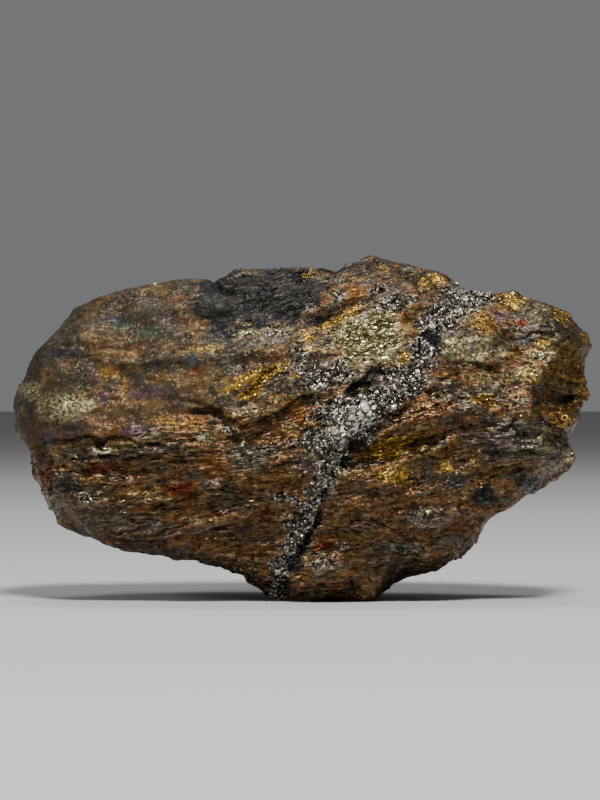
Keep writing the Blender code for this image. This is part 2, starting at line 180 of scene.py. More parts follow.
# Patches of the broad face by what they are made of or tarnished to: X, Z, half length, half
# height, how fully the patch is covered, and its climb to the right in degrees if it has one.
PATCHES = {
    "charcoal": [
        (-10, 72, 15, 7, 1, 8), (-21.5, 72, 6, 6.5, 0.9), (-19, 64.5, 4, 2.5, 0.7),
        (-30, 75.5, 2.5, 1, 0.6), (31, 62.5, 2.5, 2, 1), (15.5, 52.5, 4, 1.5, 1, 35),
        (12, 50, 2.5, 1.5, 1, 20), (43.5, 25, 3, 2.5, 1), (54, 27.5, 4, 2, 0.9, -20),
        (3.5, 67, 3.5, 1, 0.9, 20), (-57.5, 58.5, 4, 1, 0.7), (-56.5, 26.5, 4, 2, 0.75, -10),
        # The charcoal patches beside the vein, from X 12.5 Z 36.5 down to X -4 Z 3.5, are painted
        # shadow in its cracks.
        (12.5, 36.5, 2, 2, 0.9, 30), (10, 32.5, 1.5, 2, 0.9, 60), (5, 24.5, 1, 3, 0.9, -10),
        (3.5, 19, 1, 3, 0.9, -12), (1, 13.5, 1.5, 3, 0.9, -25), (-2, 8, 1.5, 2.5, 0.9, -20),
        (-4, 3.5, 2, 2, 0.8, -20), (46, 35, 2, 1.5, 0.7), (32.5, 50.5, 2.5, 1, 0.6),
        (15.5, 80.5, 5.5, 2, 0.55), (62, 48, 3, 1, 0.8), (32.5, 31, 1, 1, 0.4),
        (-39.5, 14, 13.5, 1.5, 0.6, -14), (-65, 43, 1, 4.5, 0.4), (-62.5, 33, 1.5, 2.5, 0.6),
    ],
    "silver": [
        (39, 72.5, 6, 3.5, 0.95, 10), (33, 67.5, 4.5, 3.5, 0.9, 20), (29, 60, 4, 3, 0.9, 40),
        (24.5, 52, 5, 3.5, 0.85, 30), (15, 44.5, 5.5, 3, 1, 15), (9, 44.5, 5.5, 3, 1),
        (4, 38, 5.5, 3, 0.85), (10, 39, 3.5, 2, 0.9, 10), (8, 33.5, 3, 2.5, 0.8, 60),
        (6, 28.5, 2.5, 2.5, 0.9, 60), (2, 23, 3, 2.5, 1, 60), (-0.5, 17, 2.5, 3, 0.95, 70),
        (-2.5, 12, 2, 3, 0.85, 70), (-5, 6.5, 2, 3, 0.8, 60), (5, 53.5, 6, 3, 0.85, 10),
        (-4.5, 24, 5, 1, 0.75, -8), (22, 71.5, 3.5, 2.5, 0.8, 20), (8.5, 73, 1.5, 1, 0.8),
        (18, 74.5, 2, 1, 0.6, 20), (-18, 40.5, 2, 1, 0.8, -30), (-1, 58, 4, 2.5, 0.5, 30),
        (4.5, 7.5, 4, 2.5, 0.45), (9.5, 12.5, 1.5, 1, 0.7), (-9.5, 74, 2, 1, 0.6, 20),
        (-15, 77.5, 2.5, 1, 0.5, 15), (-52, 24, 2, 1, 0.6), (-7, 63.5, 3.5, 1.5, 0.35, 10),
        (-15.5, 55.5, 2.5, 1, 0.45, 10), (30, 20.5, 4, 2.5, 0.4), (1.5, 71.5, 2, 2, 0.5),
        (27.5, 12, 2, 1, 0.6), (46, 72, 3.5, 1.5, 0.5, -10),
    ],
    "gold": [
        (-10, 52.5, 7.5, 1, 1, 40), (-14.5, 52.5, 5, 1, 0.8, 30), (-4.5, 56, 2, 1, 0.9, 40),
        (-2, 53.5, 1.5, 1, 0.7), (1, 63, 2, 1.5, 0.8, 20), (1.5, 60, 2, 1, 0.8),
        (0, 78, 2.5, 1.5, 0.9), (-46, 54.5, 3, 1.5, 0.42), (-43.5, 50.5, 1, 3, 0.5),
        (-34, 53, 3, 1.5, 0.4), (-40, 55.5, 1.5, 1, 0.4), (-25, 60, 5, 1, 0.6, 5),
        (9, 67.5, 6.5, 1, 0.8, 26), (19, 79.5, 2, 1, 0.6), (24.5, 58, 1.5, 2, 0.9),
        (31.5, 76.5, 3.5, 2, 0.75, 10), (49.5, 72, 3.5, 2.5, 0.95), (63.5, 69, 3.5, 3, 0.85, -30),
        (57.5, 61.5, 2.5, 1, 0.7), (43.5, 66.5, 3.5, 2.5, 0.55), (54.5, 54, 2, 2.5, 0.85),
        (68.5, 62.5, 1.5, 2.5, 0.8), (42.5, 48, 3, 1, 0.95), (44.5, 47, 2.5, 0.5, 0.8, -10),
        (21.5, 29, 4.5, 2, 0.85), (34, 31.5, 3, 1.5, 0.8), (24, 30, 2, 2, 0.7),
        (-2.5, 39.5, 1.5, 1, 0.7), (9, 14.5, 3, 1, 0.5, -10), (64, 56, 4.5, 5, 0.45, 30),
        (62.5, 43.5, 3.5, 2.5, 0.55), (-13, 49, 3, 1, 0.9, 30), (-31, 42.5, 5, 1, 0.5, -4),
        (-19, 39, 2, 1, 0.5), (22, 56, 1.5, 1.5, 0.4), (65.5, 48, 2.5, 2.5, 0.4),
        (23, 64.5, 2, 1, 0.4, 30), (0.5, 6.5, 1.5, 2, 0.45),
    ],
    "brass": [
        (15.5, 62.5, 7, 5, 1, 20), (19.5, 57.5, 3.5, 2, 0.6, 20), (34.5, 61, 1, 1, 1),
        (57.5, 58.5, 3.5, 1.5, 0.7, 10), (54.5, 54.5, 2, 2, 0.6), (40, 60, 6, 2.5, 0.35),
        (30, 21, 1.5, 1, 0.8), (-23.5, 38.5, 2, 1, 0.7), (-46.5, 36, 3.5, 0.5, 0.7, 2),
        (64, 33.5, 1, 1, 1), (-56, 34, 1, 0.5, 0.7), (-36, 76, 1, 0.5, 0.9),
        (-47.5, 73.5, 1, 0.5, 0.7), (-14, 64.5, 4.5, 1.5, 0.3, 10), (-13, 45, 3.5, 1, 0.4),
        (-58, 46, 5.5, 3, 0.35), (-66, 50, 2.5, 2, 0.4),
    ],
    "rust": [
        (-33.5, 53, 3.5, 2, 0.5), (4.5, 72, 3, 1.5, 0.75, 35), (12, 73.5, 3, 2.5, 0.75, 10),
        (9.5, 68, 5.5, 1.5, 0.8, 26), (23.5, 67.5, 2.5, 2, 0.8), (43.5, 66.5, 3.5, 3, 0.7),
        (52, 66.5, 2, 1, 0.6, 20), (52, 59.5, 3, 1, 0.7), (58, 62, 2, 1, 0.6),
        (-46, 54.5, 3.5, 1.5, 0.7), (-43.5, 50, 1.5, 3, 0.6), (-30, 43, 6.5, 2, 0.6, -4),
        (-25.5, 54.5, 3.5, 1, 0.7, 15), (-29.5, 25.5, 4.5, 2.5, 1), (-31.5, 29, 2.5, 1, 0.7),
        (-22, 32, 4, 2.5, 0.75), (-21, 31.5, 3.5, 2, 0.5), (-7.5, 27.5, 6.5, 3, 0.6),
        (-1.5, 44.5, 2.5, 4, 0.8, 30), (62, 43.5, 3.5, 3, 0.6), (43.5, 19.5, 4, 3, 0.85),
        (40, 16.5, 4, 2, 0.7), (-17, 66, 5.5, 0.5, 0.6, 10), (-37, 60.5, 11, 2, 0.5, 4),
        (-30, 72.5, 2.5, 1, 0.6), (-50.5, 38.5, 4.5, 1, 0.5), (-15.5, 13, 14.5, 5, 0.35, -6),
        (-42, 28.5, 14.5, 4, 0.3), (-55, 72, 6.5, 3.5, 0.35, 40), (13.5, 22.5, 8, 2, 0.45),
        (33, 23.5, 7, 5, 0.3), (-23, 43.5, 4, 1, 0.45), (-1, 26, 4, 2, 0.4), (9, 13, 5, 2, 0.4),
        (25.5, 5.5, 9.5, 2, 0.5, 10), (64, 52.5, 4.5, 5, 0.4), (-13, 38, 8, 1.5, 0.55),
        (-62.5, 23.5, 2, 6, 0.5),
    ],
    "violet": [
        (-39.5, 49.5, 4, 2, 0.7), (-34.5, 50, 3, 1.5, 0.7), (-50.5, 52.5, 2, 1, 0.6),
        (-48, 48, 1.5, 1.5, 0.7), (-58, 39.5, 6, 2, 0.65), (-40.5, 40, 3.5, 1.5, 0.7),
        (-49, 43, 4.5, 2, 0.5), (47, 67.5, 2, 1.5, 0.8), (-18, 16.5, 4, 1.5, 0.7),
        (47.5, 38, 3.5, 1.5, 0.7), (31.5, 20.5, 4.5, 2.5, 0.5), (15, 80, 5, 2, 0.5),
        (18, 55.5, 3, 1.5, 0.5, 35), (-33, 66.5, 4, 1.5, 0.5), (-36.5, 17, 5, 2, 0.35),
        (37.5, 50, 2.5, 1, 0.5), (23.5, 40, 2, 1, 0.4), (-1, 64, 1.5, 1, 0.5),
        (51, 56, 3.5, 2, 0.35), (-27.5, 43, 3.5, 1, 0.3),
    ],
    "blue": [
        (-45, 66.5, 3, 1.5, 0.8), (-61, 58, 2, 1, 0.8), (-57.5, 59, 2, 1, 0.8),
        (-28, 57.5, 3, 1.5, 0.8), (-61, 38, 1.5, 1, 0.8), (54.5, 62, 2, 1, 0.85),
        (2, 71.5, 2, 2, 0.7), (37, 28, 2, 1.5, 0.8), (23.5, 11.5, 2, 1, 0.7), (48, 48, 2, 1, 0.5),
        (33.5, 37, 1, 1, 0.7), (-57, 28.5, 3, 1.5, 0.6), (35.5, 69, 5, 2.5, 0.5),
        (46, 35, 2, 1.5, 0.5), (-41, 34, 2, 0.5, 0.7), (-17.5, 40, 2, 1, 0.4),
        (16.5, 66.5, 2, 1, 0.3), (-37, 56, 2.5, 1, 0.45), (-48, 47.5, 1, 1, 0.6),
    ],
    "green": [
        (-36.5, 64, 3.5, 1.5, 0.85), (-44, 65.5, 3, 1, 0.8), (-46.5, 20, 2, 1, 0.6),
        (32.5, 50.5, 2.5, 1.5, 0.5), (-40.5, 57, 3, 1, 0.5), (-19.5, 26.5, 3, 2, 0.45),
        (-23.5, 38.5, 2, 1.5, 0.5), (-58, 46.5, 5, 2.5, 0.3), (26.5, 29, 2, 1.5, 0.5),
    ],
    "ash": [
        (-50, 34.5, 14.5, 2, 0.7), (-58.5, 23.5, 5, 4, 0.6), (-50, 23.5, 7, 2.5, 0.6),
        (-39.5, 17.5, 14.5, 2.5, 0.7, -10), (-13, 34.5, 6.5, 3.5, 0.8),
        (-16.5, 23.5, 7, 2, 0.6, -8), (-13, 14, 12, 2, 0.55, -8), (22, 9, 6.5, 4, 0.6),
        (33, 28.5, 6, 2.5, 0.6), (52, 38, 10, 5.5, 1, -10), (40, 49, 8.5, 3, 0.75, 4),
        (28, 19, 5, 2.5, 0.6), (17, 19, 5, 1.5, 0.4), (-58.5, 64.5, 9.5, 5, 0.5, 30),
        (-15.5, 63.5, 9.5, 3.5, 0.6, 10), (-32, 69.5, 8, 2.5, 0.5, 4), (-25, 9, 12, 2, 0.5, -14),
        (57, 64.5, 7, 4, 0.5), (-37, 35.5, 14.5, 2, 0.6, 2), (-1, 31, 5, 2.5, 0.5),
    ],
    "pale": [
        (56.5, 68.5, 4, 3, 0.9, -35), (58.5, 37.5, 5, 4, 0.65), (-59.5, 54, 5, 3, 0.4),
        (-37, 39.5, 3.5, 2.5, 0.7), (-58, 46.5, 5.5, 3, 0.5), (-19.5, 26.5, 3, 2, 0.6),
        (-14, 34, 4, 2, 0.7), (-37.5, 31.5, 4, 2, 0.6), (-21.5, 56, 5.5, 2.5, 0.5),
        (-13, 65, 7.5, 3, 0.55, 12), (40, 59.5, 7, 4, 0.55), (62, 62.5, 3.5, 2, 0.6, 40),
        (-64, 49.5, 3.5, 2.5, 0.6), (4, 7, 5, 3, 0.55), (-40.5, 24, 3.5, 1, 0.5),
        (33, 49, 6.5, 2.5, 0.4), (-58.5, 20.5, 5.5, 1.5, 0.4), (16.5, 6.5, 5, 3, 0.4),
        (-7, 46.5, 4.5, 2, 0.5), (47.5, 52.5, 7, 2, 0.4), (-16.5, 5.5, 6.5, 1, 0.5, -14),
        (40, 33.5, 5, 2, 0.4), (-44, 62, 7, 2.5, 0.3), (22, 9, 5, 2.5, 0.35),
        (-19, 47.5, 4.5, 2, 0.4),
    ],
    "olive": [
        (19.5, 36, 8, 3, 1, 15), (25.5, 37, 6, 2.5, 0.9, 12), (63.5, 55.5, 5, 5.5, 0.8),
        (-7, 46, 5, 2, 0.4, 10), (-58, 20.5, 5.5, 1.5, 0.6), (21.5, 80, 3, 1.5, 0.5),
        (0, 6.5, 2, 3, 0.7), (11, 31, 4, 1.5, 0.4, 10), (9, 13, 6.5, 2, 0.5),
        (-52.5, 61, 7, 2.5, 0.3), (62, 47.5, 5, 4, 0.5), (17, 9, 7, 3.5, 0.3),
        (-1, 44, 2.5, 3, 0.4), (-11.5, 29, 5, 2, 0.3), (57, 57.5, 3.5, 2, 0.3),
    ],
    "red": [
        (-29.5, 26, 3, 2, 0.85, -5), (-31.5, 28.5, 2, 1, 0.6), (-49, 31, 3.5, 1, 0.8),
        (-9, 20.5, 2, 1, 0.8), (4.5, 12.5, 3, 1, 0.9), (2.5, 2.5, 6.5, 0.5, 0.7),
        (52.5, 66.5, 1, 1, 0.8), (-25.5, 54.5, 3, 1, 0.4, 15), (-48.5, 48.5, 1, 1, 0.7),
        (-13, 41.5, 5, 1.5, 0.4), (-62.5, 31, 2, 3.5, 0.7), (-25, 14, 14.5, 2.5, 0.45, -8),
        (37.5, 16.5, 6, 2, 0.5), (30.5, 4.5, 10.5, 1.5, 0.6, 12), (24.5, 49, 1.5, 0.5, 0.4),
        (-23.5, 20.5, 6, 2, 0.35, 8), (-34.5, 21, 7, 2.5, 0.3, 6), (18.5, 31, 1, 0.5, 0.8),
        (-66, 41.5, 1.5, 3, 0.4),
    ],
}

# The same minerals off the broad face: how much noise they need to show, and how fully they cover.
OFF_FACE = {
    "charcoal": (0.28, 0.6, 0.55), "silver": (0.38, 0.62, 0.6), "gold": (0.4, 0.65, 0.6),
    "brass": (0.42, 0.65, 0.6), "rust": (0.05, 0.45, 0.6), "violet": (0.1, 0.45, 0.65),
    "blue": (0.24, 0.55, 0.6), "green": (0.26, 0.55, 0.6), "pale": (0, 0.4, 0.55),
    "olive": (0.05, 0.45, 0.6), "red": (0.15, 0.5, 0.5), "ash": (0, 0.35, 0.6),
}
OFF_FACE_SIZE = 15.0

# The vein: its line over the stone as X and Z, and its half width along it.
VEIN = [
    (42, 84), (40, 74), (33, 68), (29.5, 60), (26, 53), (19, 48), (12, 43.5), (8, 38), (7, 32.5),
    (5, 27.5), (2, 22.5), (-1, 16.5), (-2.5, 12), (-4.5, 7), (-7, 1),
]
VEIN_HALF_WIDTHS = [2.6, 3.0, 3.3, 2.3, 3.2, 5.0, 5.8, 4.3, 2.9, 2.4, 2.4, 2.4, 2.1, 2.0, 2.0]


def smooth(low, high, value):
    """0 at low, 1 at high, and an S-curve between them."""
    t = np.clip((value - low) / (high - low), 0.0, 1.0)
    return t * t * (3.0 - 2.0 * t)


def between(share, one, other):
    """A value that is one where the share is 0, and the other where it is 1."""
    return share * other + (1.0 - share) * one


def rows(*columns):
    """Columns of numbers as rows of places."""
    return np.column_stack(columns)


def scatter(cell, seed):
    """Three steady random numbers from 0 to 1 for each whole-numbered cell."""
    mixed = cell[:, 0] * 374761393 + cell[:, 1] * 668265263 + cell[:, 2] * 1440662683
    mixed = (mixed + seed * 974634777) & 0xFFFFFFFF
    mixed = ((mixed ^ (mixed >> 13)) * 1274126177) & 0xFFFFFFFF
    mixed = ((mixed ^ (mixed >> 15)) * 1103515245) & 0xFFFFFFFF
    mixed = mixed ^ (mixed >> 16)
    return rows(mixed & 1023, mixed >> 10 & 1023, mixed >> 20 & 1023) / 1023.0


def ore_noise(places, seed):
    """Smooth noise, from about -1 to 1, with features about one unit across."""
    cell = np.floor(places).astype(np.int64)
    inside = places - cell
    fade = inside ** 3 * (inside * (inside * 6.0 - 15.0) + 10.0)
    total = np.zeros(len(places))
    for corner in itertools.product((0, 1), repeat=3):
        slope = scatter(cell + corner, seed) * 2.0 - 1.0
        share = np.prod(np.where(corner, fade, 1.0 - fade), axis=1)
        total += share * np.sum((inside - corner) * slope, axis=1)
    return total * 1.7


def mixed_noise(points, kinds):
    """Noise of several kinds together: each one's size, height and seed."""
    return sum(height * ore_noise(points / size, seed) for size, height, seed in kinds)


def layer_noise(points, layers, along, through, inward, seed):
    """Noise drawn out along the torn layers. Its three sizes are in millimetres."""
    places = rows(points[:, 0] / along, layers / through, points[:, 1] / inward)
    return ore_noise(places, seed)


def crystals(places, seed):
    """Tilted crystal faces, about one unit across: how high each place stands, about -1 to 1."""
    cell = np.floor(places).astype(np.int64)
    nearest = np.full(len(places), np.inf)
    height = np.zeros(len(places))
    for step in itertools.product((-1, 0, 1), repeat=3):
        at = cell + step
        away = places - at - scatter(at, seed)
        distance = np.sum(away * away, axis=1)
        tilt = scatter(at, seed + 1) * 2.0 - 1.0
        face = 0.6 * np.sum(away * tilt, axis=1) + 0.4 * tilt[:, 0]
        height = np.where(distance < nearest, face, height)
        nearest = np.minimum(distance, nearest)
    return height


def seen(points):
    """Where each point of the stone is seen on the broad face, as X and Z."""
    nearer = VIEW_DISTANCE / (VIEW_DISTANCE + points[:, 1])
    across = VIEW_SIDE + (points[:, 0] - VIEW_SIDE) * nearer
    up = VIEW_HEIGHT + (points[:, 2] - VIEW_HEIGHT) * nearer
    return across, up


def level_map():
    """A map of the layers over the broad face. Its level lines run the way the fibres do."""
    across = LEVEL_LEFT + LEVEL_STEP * np.arange(LEVEL_COLUMNS)
    up = LEVEL_FOOT + LEVEL_STEP * np.arange(LEVEL_ROWS)
    across, up = np.meshgrid(across, up)
    climb = np.zeros(across.shape)
    total = np.full(across.shape, 1e-6)
    for x, z, degrees in FIBRE_CLIMBS:
        near = np.exp(-((across - x) ** 2 + (up - z) ** 2) / (2.0 * FIBRE_REACH ** 2))
        climb += near * math.radians(degrees)
        total += near
    climb /= total
    side_slope = -np.sin(climb)
    up_slope = np.cos(climb)
    side_rise = LEVEL_STEP * (side_slope[:, 1:] + side_slope[:, :-1]) / 2.0
    up_rise = LEVEL_STEP * (up_slope[1:] + up_slope[:-1]) / 2.0
    level = up.copy()
    links = np.zeros(level.shape)
    links[:, 1:] += 1
    links[:, :-1] += 1
    links[1:] += 1
    links[:-1] += 1
    # Each place settles on what its neighbours say its level is.
    for _ in range(LEVEL_ROUNDS):
        told = np.zeros(level.shape)
        told[:, 1:] += level[:, :-1] + side_rise
        told[:, :-1] += level[:, 1:] - side_rise
        told[1:] += level[:-1] + up_rise
        told[:-1] += level[1:] - up_rise
        level = 0.2 * level + 0.8 * told / links
    return level - level.mean() + up.mean()


LEVELS = level_map()


def read_levels(across, up):
    """The level map's value at each place, between its nearest four."""
    column = np.clip((across - LEVEL_LEFT) / LEVEL_STEP, 0, LEVEL_COLUMNS - 1.001)
    row = np.clip((up - LEVEL_FOOT) / LEVEL_STEP, 0, LEVEL_ROWS - 1.001)
    i = np.floor(column).astype(int)
    j = np.floor(row).astype(int)
    s = column - i
    t = row - j
    low = LEVELS[j, i] * (1 - s) + LEVELS[j, i + 1] * s
    high = LEVELS[j + 1, i] * (1 - s) + LEVELS[j + 1, i + 1] * s
    return low * (1 - t) + high * t


def layer_height(points):
    """The level of the torn layer through each point."""
    return read_levels(*seen(points)) + LAYER_DIP_BACK * points[:, 1]


def line_distance(across, up, line):
    """Each place's distance from a line, and its share of the way along it."""
    nearest = np.full(len(across), np.inf)
    share = np.zeros(len(across))
    for i in range(len(line) - 1):
        start = np.array(line[i])
        step = np.array(line[i + 1]) - start
        t = ((across - start[0]) * step[0] + (up - start[1]) * step[1]) / (step @ step)
        t = np.clip(t, 0.0, 1.0)
        distance = np.hypot(across - start[0] - t * step[0], up - start[1] - t * step[1])
        share = np.where(distance < nearest, (i + t) / (len(line) - 1), share)
        nearest = np.minimum(distance, nearest)
    return nearest, share


def front_share(points):
    """1 on the broad face, 0 on the far side of the stone."""
    return smooth(6.0, -3.0, points[:, 1] + 2.0 * ore_noise(points / 7.0, 43))


def crack_depth(points):
    """How deep the cracks of the broad face cut at each point."""
    across, up = seen(points)
    sway = mixed_noise(points, CRACK_SWAY)
    depth = np.zeros(len(points))
    for deep, wide, line in CRACKS.values():
        distance, share = line_distance(across, up, line)
        ends = np.minimum(1.0, 6.0 * share * (1.0 - share) + 0.2)
        groove = np.exp(-((distance + sway) / wide) ** 2)
        depth = np.maximum(depth, deep * ends * groove)
    return depth * front_share(points)


def vein_cover(across, up, ragged):
    """How fully the vein covers each place, from 0 to 1."""
    distance, share = line_distance(across, up, VEIN)
    half_width = np.interp(share * (len(VEIN) - 1), range(len(VEIN)), VEIN_HALF_WIDTHS)
    return smooth(1.45, 0.55, distance / half_width + 1.1 * ragged)


def patch_cover(name, points):
    """How fully a mineral covers each point, from 0 to 1, with ragged edges."""
    across, up = seen(points)
    layers = layer_height(points)
    ragged = 0.50 * layer_noise(points, layers, 4.5, 2.0, 4.0, 44)
    ragged += 0.38 * layer_noise(points, layers, 1.8, 0.9, 1.8, 45)
    front = np.zeros(len(points))
    for x, z, reach, rise, strength, *climb in PATCHES[name]:
        turn = math.radians(sum(climb))
        along = (across - x) * math.cos(turn) + (up - z) * math.sin(turn)
        over = (up - z) * math.cos(turn) - (across - x) * math.sin(turn)
        away = np.hypot(along / reach, over / rise) + ragged
        front = np.maximum(front, strength * smooth(1.55, 0.55, away))
    low, high, strength = OFF_FACE[name]
    seed = 50 + list(PATCHES).index(name)
    spread = layer_noise(points, layers, OFF_FACE_SIZE, OFF_FACE_SIZE / 2.0, OFF_FACE_SIZE, seed)
    behind = strength * smooth(low, high, spread + 0.4 * ragged)
    if name == "silver":
        front = np.maximum(front, vein_cover(across, up, ragged))
        wander = points[:, 1] / 12.0 + 2.5 * ore_noise(points / 14.0, 46)
        behind = np.maximum(behind, vein_cover(points[:, 0] + wander, points[:, 2], ragged))
    return between(front_share(points), behind, front)


def mesh_rows(mesh, attribute):
    """The mesh's points or normals as rows of numbers."""
    values = np.empty(3 * len(mesh.vertices))
    mesh.vertices.foreach_get(attribute, values)
    return values.reshape(-1, 3)


def new_thing(name, data):
    """A new object in the scene, at the origin."""
    thing = bpy.data.objects.new(name, data)
    bpy.context.scene.collection.objects.link(thing)
    return thing


def bake(thing):
    """Makes the result of a thing's modifiers its own mesh."""
    graph = bpy.context.evaluated_depsgraph_get()
    mesh = bpy.data.meshes.new_from_object(thing.evaluated_get(graph))
    thing.modifiers.clear()
    old = thing.data
    thing.data = mesh
    bpy.data.meshes.remove(old)


def even_skin(source, name):
    """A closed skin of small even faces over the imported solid, rounded where that is faceted."""
    shell = bmesh.new()
    shell.from_mesh(source.data)
    bmesh.ops.remove_doubles(shell, verts=shell.verts, dist=WELD)
    mesh = bpy.data.meshes.new(name)
    shell.to_mesh(mesh)
    shell.free()
    skin = new_thing(name, mesh)
    even = skin.modifiers.new("even", "REMESH")
    even.mode = "VOXEL"
    even.voxel_size = SKIN_FACE
    rounded = skin.modifiers.new("rounded", "SMOOTH")
    rounded.factor = 0.5
    rounded.iterations = SKIN_ROUNDING
    bake(skin)
    return skin


def below_brow(points):
    """1 under the brow that crosses the broad face, 0 above it, and between them behind."""
    across, up = seen(points)
    below = smooth(5.0, -6.0, up - BROW_HEIGHT - BROW_CLIMB * across)
    return between(front_share(points), 0.5, below)


def fibrous_share(points):
    """How coarse the fibres are: fine and dull in the upper left, coarse under the brow."""
    across, up = seen(points)
    right = 0.6 * smooth(-30.0, 0.0, across)
    front = np.maximum(below_brow(points), right)
    return 0.15 + 0.85 * between(front_share(points), 0.6, front)


def torn_relief(points):
    """Height of the torn layers, splinters and crystals at each point of the skin."""
    layers = layer_height(points)
    grainy = np.maximum(patch_cover("silver", points), patch_cover("brass", points))
    # The layers are torn strongly under the brow, and less above it.
    torn_share = 0.3 + 0.7 * below_brow(points)
    relief = np.zeros(len(points))
    for seed, (pitch, lip) in enumerate(LAMINAE):
        bend = layer_noise(points, layers, 6 * pitch, 3 * pitch, 6 * pitch, seed)
        turns = layers / pitch + 0.7 * bend
        level = np.floor(turns)
        share = turns - level
        torn = layer_noise(points, level * 7.3, 3.2 * pitch, 1.0, 3.2 * pitch, seed + 5)
        shown = smooth(-0.2, 0.35, torn)
        relief += lip * shown * torn_share * smooth(0.0, 0.2, share) * (1.0 - share)
    splinters = 1.0 - 2.0 * np.abs(layer_noise(points, layers, 4.5, 1.1, 2.4, 12))
    relief += SPLINTER_RIDGE * splinters
    relief *= 1.0 - 0.75 * grainy
    relief += mixed_noise(points, LUMPS) * (0.5 + 0.5 * fibrous_share(points))
    for size, height, seed in FACETS:
        relief += height * grainy * crystals(points / size, seed)
    return relief


def hollow_fill(points):
    """Rounds two hollows of the solid: the notch at the left end, and the pit beside the vein."""
    across, up = seen(points)
    # Each is filled most in its middle, by this many millimetres, and less away from it.
    notch = 1.7 * np.exp(-((across + 66.2) / 2.6) ** 2 - ((up - 44.0) / 4.0) ** 2)
    along = 0.77 * (across - 12.4) + 0.64 * (up - 51.1)
    over = 0.77 * (up - 51.1) - 0.64 * (across - 12.4)
    pit = 1.3 * np.exp(-(along / 5.5) ** 2 - (over / 2.0) ** 2)
    return notch + pit * front_share(points)


def tear(skin):
    """Moves the skin's points to the torn and cracked surface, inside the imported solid's box."""
    points = mesh_rows(skin.data, "co") / MM
    relief = torn_relief(points) - SKIN_DEPTH - crack_depth(points) + hollow_fill(points)
    above_base = smooth(0.1, 2.0, points[:, 2])
    points += mesh_rows(skin.data, "normal") * (relief * above_base)[:, None]
    points = np.clip(points, CAD_LOW, CAD_HIGH)
    points[:, 2] = np.where(points[:, 2] < FLAT_BELOW, 0.0, points[:, 2])
    skin.data.vertices.foreach_set("co", (points * MM).ravel())
    skin.data.update()


def fewer_faces(skin, most):
    """Thins the skin where it is flat, so that it stays a light mesh."""
    thin = skin.modifiers.new("thin", "DECIMATE")
    triangles = sum(len(face.vertices) - 2 for face in skin.data.polygons)
    thin.ratio = min(1.0, most / triangles)
    bake(skin)


def hollowness(mesh, rounds):
    """How far each point lies below the skin round it, in millimetres."""
    points = mesh_rows(mesh, "co") / MM
    ends = np.empty(2 * len(mesh.edges), int)
    mesh.edges.foreach_get("vertices", ends)
    one, other = ends.reshape(-1, 2).T
    count = np.bincount(ends, minlength=len(points))
    evened = points.copy()
    for _ in range(rounds):
        total = np.empty(evened.shape)
        for axis in range(3):
            total[:, axis] = np.bincount(one, evened[other, axis], len(points))
            total[:, axis] += np.bincount(other, evened[one, axis], len(points))
        evened = 0.5 * evened + 0.5 * total / count[:, None]
    return np.sum((evened - points) * mesh_rows(mesh, "normal"), axis=1)


def keep_values(mesh, name, values, kind="FLOAT"):
    """Keeps a value for each point of the mesh, for its material to read."""
    kept = mesh.attributes.new(name, kind, "POINT")
    key = "value" if kind == "FLOAT" else "vector"
    kept.data.foreach_set(key, np.asarray(values, np.float32).ravel())


def fibre_way(points, normals):
    """Which way the fibres run along the skin at each point."""
    across, up = seen(points)
    side_rise = read_levels(across + 1.0, up) - read_levels(across - 1.0, up)
    up_rise = read_levels(across, up + 1.0) - read_levels(across, up - 1.0)
    way = rows(up_rise, np.zeros(len(points)), -side_rise)
    way /= np.linalg.norm(way, axis=1)[:, None]
    # Where the fibres run out of the skin, its splinters lie across instead.
    end_on = np.abs(np.sum(way * normals, axis=1)) > 0.9
    way[end_on] = (0.0, 1.0, 0.0)
    way -= normals * np.sum(way * normals, axis=1)[:, None]
    return way / np.linalg.norm(way, axis=1)[:, None]


def room_to_grow(points):
    """1 where a grain can stand out of the skin, 0 next to the base and the solid's limits."""
    clear = np.minimum(points - CAD_LOW, CAD_HIGH - points)
    beside = smooth(1.6, 2.2, clear[:, :2].min(axis=1))
    return beside * smooth(1.2, 2.0, clear[:, 2])


